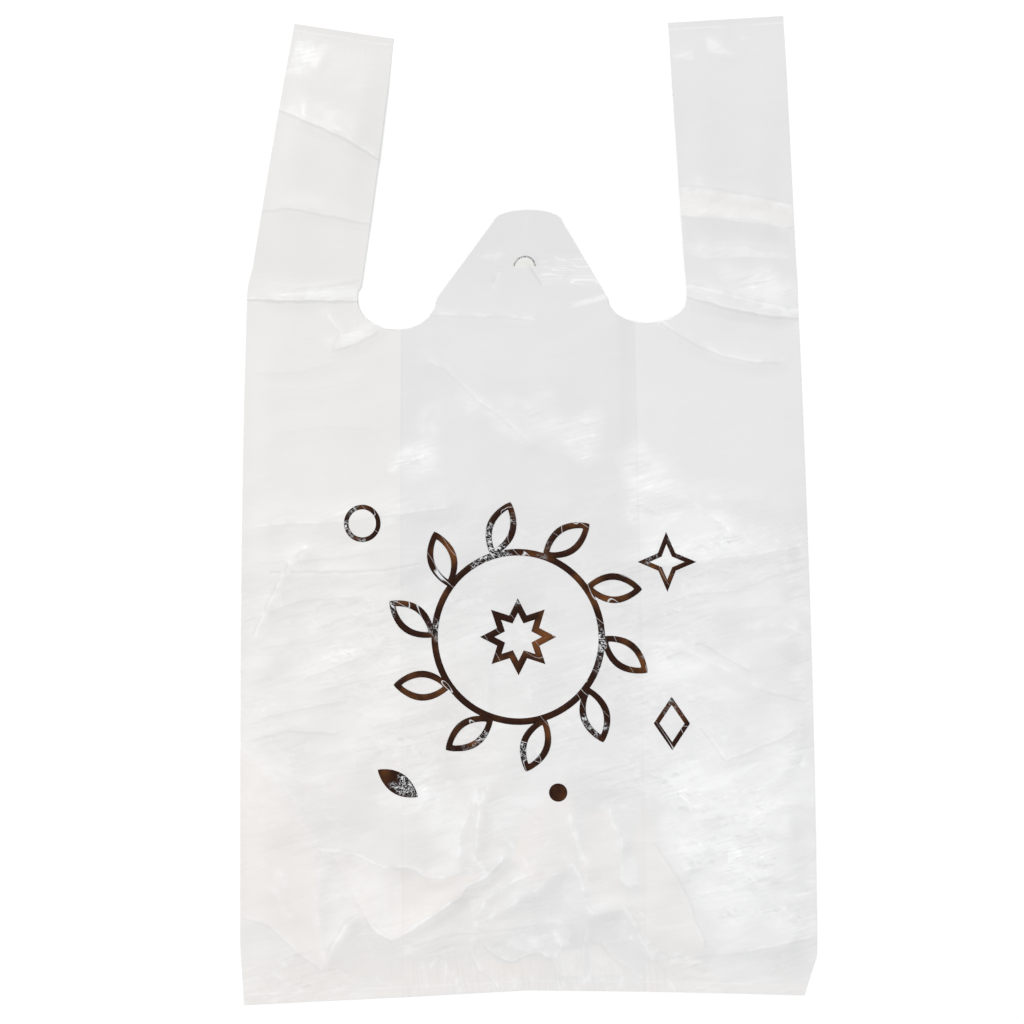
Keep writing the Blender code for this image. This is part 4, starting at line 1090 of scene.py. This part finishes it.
def film_material():
    """Milky film with a soft sheen, whose folds, facets, creases and welds are given tones.

    Most of these tones are painted highlights and painted shade.
    """
    material, tree = new_material("milky_film")
    flat = result_of(tree, "ShaderNodeUVMap", {}, "UV", uv_map="flat")
    across, along, _ = parts_of(flat)
    away = abs(across)
    rightwards = fade(across, -SIDE_BLEND, SIDE_BLEND)
    worn = noise(flat, WORN_SCALE, 3.0)
    patches = noise(flat, PATCH_SCALE, 3.0)
    broken = fade(worn, 0.36, 0.60, 0.25, 1.0)

    # Where the gusset lies under it, four layers look whiter than two, and warmer at the left
    inwards = away + rightwards * FOLD_AT_RIGHT
    four = fade(inwards, INNER_FOLD - 0.0005, INNER_FOLD + 0.0005)
    tone = mix_colour(four, CENTRE_TONE, mix_colour(rightwards, LEFT_TONE, RIGHT_TONE))
    low = fade(along, 0.24, 0.10) * fade(across, 0.03, -0.06) * 0.45
    tone = mix_colour(low, tone, WARM_TONE)

    # The larger facets have painted light, warm, grey or bright, and the painted sheen has a ragged
    # edge
    warm, grey, bright = parts_of(attribute(tree, "facets", "Vector"))
    warm = fade(warm, -0.0012, 0.0022) * fade(across, -SIDE_BLEND, SIDE_BLEND, 1.0, 0.40)
    grey = fade(grey, -0.0006, 0.0012)
    bright = fade(bright, -0.0005, 0.0008)
    tone = mix_colour(warm, tone, WARM_TONE)
    tone = mix_colour(bright * fade(worn, 0.42, 0.58, 0.26, 0.46), tone, WHITE_TONE)
    ragged = patches.math("MULTIPLY_ADD", 0.060, -0.031)
    sheen = fade(attribute(tree, "sheen") + ragged, -0.006, 0.008)

    # Fine streaks and small facets, of which some catch the light: many in the lower half and in
    # the sheen, few under the tab
    calm = largest(warm * 0.55, grey * 0.45)
    lower = fade(along, 0.20, 0.29, 0.80, 0.14) * (calm * -1.0 + 1.0)
    foot = fade(along, 0.030, 0.006) * fade(away, 0.095, 0.055)
    region = largest(lower, sheen * 1.2, bright * 0.5) * fade(foot, 0.0, 0.6, 1.0, 0.35)
    patch = fade(patches, 0.42, 0.58, 0.15, 1.0) * region
    upper = fade(along, 0.24, 0.28, 1.0, 0.45)
    fine, fine_height = use_group("film_streaks", flat, FINE_STREAKS)
    wide_tilt, _ = use_group("film_facets", flat, WIDE_FACETS)
    small_tilt, small_chance = use_group("film_facets", flat, SMALL_FACETS)
    tiny_tilt, tiny_chance = use_group("film_facets", flat, TINY_FACETS)
    tiny_light = fade(tiny_chance, 0.74, 0.78) * fade(worn, 0.46, 0.58, 0.0, 0.55)
    glints = largest(fine * 0.7, fade(small_chance, 0.80, 0.84, 0.0, 0.32), tiny_light)
    glints *= patch * upper

    # Soft swells get a painted highlight, and the hollows between them painted shade
    place = {"Vector": flat, "Rotation": SWELL_TURN, "Scale": SWELL_SIZE}
    place = result_of(tree, "ShaderNodeMapping", place, vector_type="TEXTURE")
    swells = noise(place, 1.0, 3.0, 0.8)
    swell_highlight = fade(swells, 0.50, 0.66, 0.0, SWELL_HIGHLIGHT) * region
    hollow_shade = fade(swells, 0.46, 0.30, 0.0, HOLLOW_SHADE) * region

    # The welds are fine light lines with pleats beside them that carry painted glints, and at the
    # bottom one it is warmer
    ends = largest(foot, fade(along, 0.490, 0.502) * 0.15)
    pleats, pleats_height = use_group("film_streaks", flat, PLEATS)
    glints = largest(glints, pleats * ends * fade(patches, 0.40, 0.56, 0.20, 0.85))
    weld = abs(along - BOTTOM_WELD_INSET)
    weld = weld.math("MINIMUM", abs(along - (BAG_LENGTH - HANDLE_WELD_INSET)))
    weld = fade(weld, 0.0002, 0.0008, WELD_WHITE, 0.0) * broken
    under = fade(along, BOTTOM_WELD_INSET, BOTTOM_WELD_INSET - 0.001, 0.0, 0.30)
    above = fade(along, 0.024, 0.010) * fade(patches, 0.45, 0.55) * 0.6
    tone = mix_colour(largest(under, above), tone, WARM_TONE)

    # All that is white, mostly painted highlights, goes over the tones, and all that is dark,
    # mostly painted shade, is taken from them
    middle = along - (HANDLE_BASE + SLIT_RISE)
    tone = slit_shadow_and_light(tone, across, middle)
    # Each crest's painted highlight, and the painted shade beside a leaning crest
    crest_highlights, leaning = crest_highlights_and_shade(tree, worn, broken)
    ripples = tab_ripple_highlights(flat, across, middle, worn)
    white = largest(crest_highlights, weld, swell_highlight, ripples, glints * GLINT_WHITE) + sheen * SHEEN_WHITE
    white = white + fade(along, 0.24, 0.15, 0.0, LOWER_WHITE)
    tone = mix_colour(white.math("MINIMUM", 1.0), tone, WHITE_TONE)
    dark = fold_marks(across, along, inwards) + leaning + hollow_shade + grey * GREY_FACET_SHADE
    dark = dark + fade(along, HANDLE_BASE, HANDLE_BASE + 0.02, 0.0, HANDLE_DARK)
    tone = tone * (fade(noise(flat, CLOUD_SCALE, 4.0), 0.3, 0.7, 0.985, 1.012) - dark)

    # The facets tilt the surface, and the streaks and pleats stand up from it
    height = fine_height * region * fade(patches, 0.40, 0.60, 0.3, 1.0) + pleats_height * ends
    tilt = wide_tilt + small_tilt * patch + tiny_tilt * (patch * fade(worn, 0.42, 0.56))
    smooth = result_of(tree, "ShaderNodeNewGeometry", {}, "Normal")
    normal = (smooth + tilt * (region * upper)).math("NORMALIZE")
    set_surface(tone, height, FILM_ROUGHNESS, FILM_SPECULAR, Normal=normal)
    return material


def make_film():
    """The sheet with its thickness and its slit, and how far the laid film was moved."""
    mesh, shift = film_mesh()
    sheet = bpy.data.objects.new("film_sheet", mesh)
    die = slit_die(shift)
    for helper in (sheet, die):
        scene.collection.objects.link(helper)
    add_thickness(sheet, FILM_THICKNESS)
    cut = sheet.modifiers.new("slit", "BOOLEAN")
    cut.operation = "DIFFERENCE"
    cut.solver = "MANIFOLD"
    cut.object = die
    finished = finished_mesh(sheet, "carrier_bag_film")
    finished.set_sharp_from_angle(angle=SHARP_ANGLE)
    for helper in (sheet, die):
        bpy.data.objects.remove(helper)
    film = bpy.data.objects.new("carrier_bag_film", finished)
    scene.collection.objects.link(film)
    return film, shift


facets_group()
streaks_group()
film, shift = make_film()
film.data.materials.clear()
film.data.materials.append(film_material())
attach(film, "root")
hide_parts("bag_film")


# The print. Dark brown ink, thick and glossy, laid on the front panel by a roller: a wreath of
# leaves with a sun inside it, and small shapes round them. It is cracked and worn at the creases.
INK_THICKNESS = 0.00003
INK_LIFT = 0.00009
LEAF_LIFT = 0.00015
INK_STROKE = 0.0034
FINE_STROKE = 0.0024
INK_CELL = 0.0009
STROKE_CELLS = 4
SOLID_CELLS = 12
INK_ROUND = 0.00035
INK_ROUGHNESS = 0.22
INK_SPECULAR = 0.1
INK_DARK = (0.027, 0.0085, 0.004, 1.0)
INK_BROWN = (0.180, 0.064, 0.018, 1.0)
INK_BLACK = (0.018, 0.016, 0.016, 1.0)
# The colour of the painted glints on the ink, and of its light cracks
INK_GLINT_AND_CRACK_TONE = (0.86, 0.87, 0.89, 1.0)
BROWN_SCALE = 42.0
CREASED_SCALE = 30.0
SPECK_SCALE = 620.0
COARSE_CRACKLE = {"Turn": 0.5, "Scale": 170.0, "Stretch": 2.2, "Thin": 0.024, "Slope": 0.30}
FINE_CRACKLE = {"Turn": -1.0, "Scale": 240.0, "Stretch": 2.0, "Thin": 0.020, "Slope": 0.24}
LONG_CRACKS = {"Turn": 0.9, "Scale": 20.0, "Stretch": 3.0, "Thin": 0.0030, "Slope": 0.0}

# The shapes: where each one's middle or foot lies on the flat film, and its size
WREATH_PLACE = (-0.004, 0.187)
WREATH_RADIUS = 0.044
WREATH_LEAVES = 10
LEAF_LENGTH = 0.030
LEAF_WIDTH = 0.0155
LEAF_SLANT = math.radians(52)
LEAF_WALL = 0.0042
LEAF_FULLNESS = 0.8
SUN_REACH = 0.020
SUN_WAIST = 0.012
SUN_RAYS = 8
STAR_PLACE = (0.075, 0.226)
STAR_REACH = 0.0155
STAR_WAIST = 0.0065
STAR_POINTS = 4
HOOP_PLACE = (-0.086, 0.246)
HOOP_RADIUS = 0.0085
SPRIG_PLACE = (-0.078, 0.118)
SPRIG_LENGTH = 0.025
SPRIG_WIDTH = 0.011
SPRIG_TURN = math.radians(-34)
DOT_PLACE = (0.016, 0.106)
DOT_RADIUS = 0.0048
DIAMOND_PLACE = (0.076, 0.142)
DIAMOND_REACH = 0.0140
DIAMOND_WAIST = 0.0095
DIAMOND_POINTS = 2


def front_grid():
    """The front panel's columns, left to right, its rows under the shoulder, and their levels."""
    columns = panel_columns(FRONT_CELL, NOTCH_COLUMNS, CROWN_COLUMNS)[1:-1]
    rows = film_rows()[0]
    u, v = np.meshgrid(columns, rows)
    return columns, rows, front_level(u, v)


def level_on_film(u, v, grid):
    """Height of the film's own triangles, which split each cell from its lower right corner."""
    columns, rows, level = grid
    i = np.clip(np.searchsorted(columns, u) - 1, 0, len(columns) - 2)
    j = np.clip(np.searchsorted(rows, v) - 1, 0, len(rows) - 2)
    a = (u - columns[i]) / (columns[i + 1] - columns[i])
    b = (v - rows[j]) / (rows[j + 1] - rows[j])
    left_low, right_low = level[j, i], level[j, i + 1]
    left_high, right_high = level[j + 1, i], level[j + 1, i + 1]
    under = left_low + a * (right_low - left_low) + b * (left_high - left_low)
    over = right_high + (1 - a) * (left_high - right_high) + (1 - b) * (right_low - right_high)
    return np.where(a + b < 1, under, over)


def closed_curve(corners, count):
    """Points evenly spread over the sides of a closed outline, as many on each side."""
    corners = np.array(corners)
    following = np.roll(corners, -1, axis=0)
    share = np.arange(count)[:, None] / count
    return np.concatenate([a + (b - a) * share for a, b in zip(corners, following)])


def band(outer, inner):
    """A stroke as a grid: from each point of the outer edge straight to its like on the inner."""
    share = np.linspace(0.0, 1.0, STROKE_CELLS + 1)[:, None, None]
    return outer * (1 - share) + inner * share


def circle_band(place, radius, stroke):
    """A circle drawn as a line: two rings of points, half a stroke outside and inside it."""
    angles = np.linspace(0.0, 2 * math.pi, round(2 * math.pi * radius / INK_CELL), endpoint=False)
    spokes = np.stack((np.cos(angles), np.sin(angles)), axis=-1)
    place = np.array(place)
    return band(place + spokes * (radius + stroke / 2), place + spokes * (radius - stroke / 2))


def star_band(place, reach, waist, points, stroke):
    """A pointed star drawn as a line, whose inner outline is the outer one made smaller.

    Every side of a star is as far from its middle, so moving the sides in is a change of scale.
    """
    half_turn = math.pi / points
    side = math.sqrt(reach**2 + waist**2 - 2 * reach * waist * math.cos(half_turn))
    inner = 1 - stroke * side / (reach * waist * math.sin(half_turn))
    angles = math.pi * np.arange(2 * points) / points + math.pi / 2
    radii = np.where(np.arange(2 * points) % 2 == 0, reach, waist)
    corners = np.stack((radii * np.cos(angles), radii * np.sin(angles)), axis=-1)
    outline = closed_curve(corners, math.ceil(side / INK_CELL))
    return band(np.array(place) + outline, np.array(place) + outline * inner)


def almond(length, width, count):
    """A leaf's outline from its foot at the origin along +u: a pair of arcs meeting at each end."""
    share = np.linspace(0.0, 1.0, count + 1)
    side = width / 2 * np.sin(math.pi * share) ** LEAF_FULLNESS
    along = np.concatenate((share, share[-2:0:-1])) * length
    return np.stack((along, np.concatenate((side, -side[-2:0:-1]))), axis=-1)


def wreath_grids():
    """The stem's ring, then the leaves round its outside, which all lean one way."""
    grids = [(circle_band(WREATH_PLACE, WREATH_RADIUS, INK_STROKE), INK_LIFT)]
    count = round(LEAF_LENGTH / INK_CELL)
    outer = almond(LEAF_LENGTH, LEAF_WIDTH, count)
    inner = almond(LEAF_LENGTH - 2 * LEAF_WALL, LEAF_WIDTH - 2 * INK_STROKE, count)
    leaf = band(outer, inner + np.array((LEAF_WALL, 0.0)))
    for i in range(WREATH_LEAVES):
        around = 2 * math.pi * i / WREATH_LEAVES
        angle = around - math.pi / 2 + LEAF_SLANT
        turned_u, turned_v = turn(leaf[..., 0], leaf[..., 1], 0.0, 0.0, angle)
        foot_u = WREATH_PLACE[0] + WREATH_RADIUS * math.cos(around)
        foot_v = WREATH_PLACE[1] + WREATH_RADIUS * math.sin(around)
        grids.append((np.stack((turned_u + foot_u, turned_v + foot_v), axis=-1), LEAF_LIFT))
    return grids


def lens(place, length, side_of, angle):
    """A solid shape as a grid: rows along it, from one side to the other, with close ends."""
    share = (1 - np.cos(np.linspace(0.0, math.pi, round(length / INK_CELL) + 1))) / 2
    across = np.linspace(-1.0, 1.0, SOLID_CELLS + 1)[:, None] * side_of(share)
    along = np.broadcast_to(share * length, across.shape)
    u, v = turn(along, across, 0.0, 0.0, angle)
    return np.stack((u + place[0], v + place[1]), axis=-1)


def sprig_side(share):
    """Half the sprig leaf's width along its length, by the same curve as the wreath's leaves."""
    return SPRIG_WIDTH / 2 * np.sin(math.pi * np.clip(share, 0.0, 1.0)) ** LEAF_FULLNESS


def dot_side(share):
    """Half the dot's width along its middle line: a half circle."""
    return DOT_RADIUS * np.sqrt(np.clip(1 - (2 * share - 1) ** 2, 0.0, 1.0))


def ink_mesh(name, grids, closed, film_grid):
    """Grids of flat places laid on the film as one mesh, each lifted off it by its own amount."""
    points, flats, quads, shares = [], [], [], []
    start = 0
    for places, lift in grids:
        rows, columns = places.shape[:2]
        u, v = places[..., 0], places[..., 1]
        x, y = on_table(u, v)
        z = level_on_film(u, v, film_grid) + lift
        points.append(np.stack((x + shift[0], y + shift[1], z), axis=-1).reshape(-1, 3))
        flats.append(places.reshape(-1, 2))
        shares.append(np.repeat(np.linspace(0.0, 1.0, rows), columns))
        quads.append(grid_quads(rows, columns, closed).reshape(-1, 4) + start)
        start += rows * columns
    mesh = write_mesh(name, np.concatenate(points), np.concatenate(quads), np.concatenate(flats))
    write_attribute(mesh, "across", np.concatenate(shares))
    return mesh


def ink_material():
    """Glossy brown ink with rounded edges, and clusters of painted glints where the film creased.
    """
    material, tree = new_material("dark_brown_ink")
    flat = result_of(tree, "ShaderNodeUVMap", {}, "UV", uv_map="flat")
    base = mix_colour(fade(noise(flat, BROWN_SCALE, 3.0), 0.46, 0.74), INK_DARK, INK_BROWN)
    coarse, coarse_height = use_group("film_streaks", flat, COARSE_CRACKLE)
    fine, fine_height = use_group("film_streaks", flat, FINE_CRACKLE)
    cracks, _ = use_group("film_streaks", flat, LONG_CRACKS)
    places = noise(flat, CREASED_SCALE, 3.0)
    creased = fade(places, 0.53, 0.60)
    base = mix_colour(creased * 0.8, base, INK_BLACK)
    specks = fade(noise(flat, SPECK_SCALE, 2.0), 0.57, 0.64, 0.0, 0.9)
    # Painted glints in the creased places, and the light cracks that run across the ink
    glints_and_cracks = largest(largest(coarse, fine, specks) * creased, cracks * 0.9)
    base = mix_colour(glints_and_cracks, base, INK_GLINT_AND_CRACK_TONE)
    edge = abs(attribute(tree, "across") * 2.0 - 1.0)
    crackle = (coarse_height + fine_height) * fade(places, 0.45, 0.62, 0.35, 1.0)
    set_surface(base, edge * edge * -INK_ROUND + crackle, INK_ROUGHNESS, INK_SPECULAR)
    return material


def make_print():
    """The seven shapes of ink, each on the film where it replaces its own solid."""
    ink = ink_material()
    film_grid = front_grid()
    sun = star_band(WREATH_PLACE, SUN_REACH, SUN_WAIST, SUN_RAYS, INK_STROKE)
    star = star_band(STAR_PLACE, STAR_REACH, STAR_WAIST, STAR_POINTS, FINE_STROKE)
    diamond = star_band(DIAMOND_PLACE, DIAMOND_REACH, DIAMOND_WAIST, DIAMOND_POINTS, FINE_STROKE)
    hoop = circle_band(HOOP_PLACE, HOOP_RADIUS, FINE_STROKE)
    sprig = lens(SPRIG_PLACE, SPRIG_LENGTH, sprig_side, SPRIG_TURN)
    dot_start = (DOT_PLACE[0] - DOT_RADIUS, DOT_PLACE[1])
    dot = lens(dot_start, 2 * DOT_RADIUS, dot_side, 0.0)
    shapes = (
        ("ink_wreath", "print_wreath", wreath_grids(), True),
        ("ink_sun", "print_sun", [(sun, INK_LIFT)], True),
        ("ink_star", "print_star", [(star, INK_LIFT)], True),
        ("ink_hoop", "print_hoop", [(hoop, INK_LIFT)], True),
        ("ink_sprig", "print_sprig", [(sprig, INK_LIFT)], False),
        ("ink_dot", "print_dot", [(dot, INK_LIFT)], False),
        ("ink_diamond", "print_diamond", [(diamond, INK_LIFT)], True),
    )
    for name, node, grids, closed in shapes:
        mesh = ink_mesh(name, grids, closed, film_grid)
        mesh.materials.append(ink)
        piece = bpy.data.objects.new(name, mesh)
        scene.collection.objects.link(piece)
        add_thickness(piece, INK_THICKNESS)
        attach(piece, "root")
        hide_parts(node)


make_print()
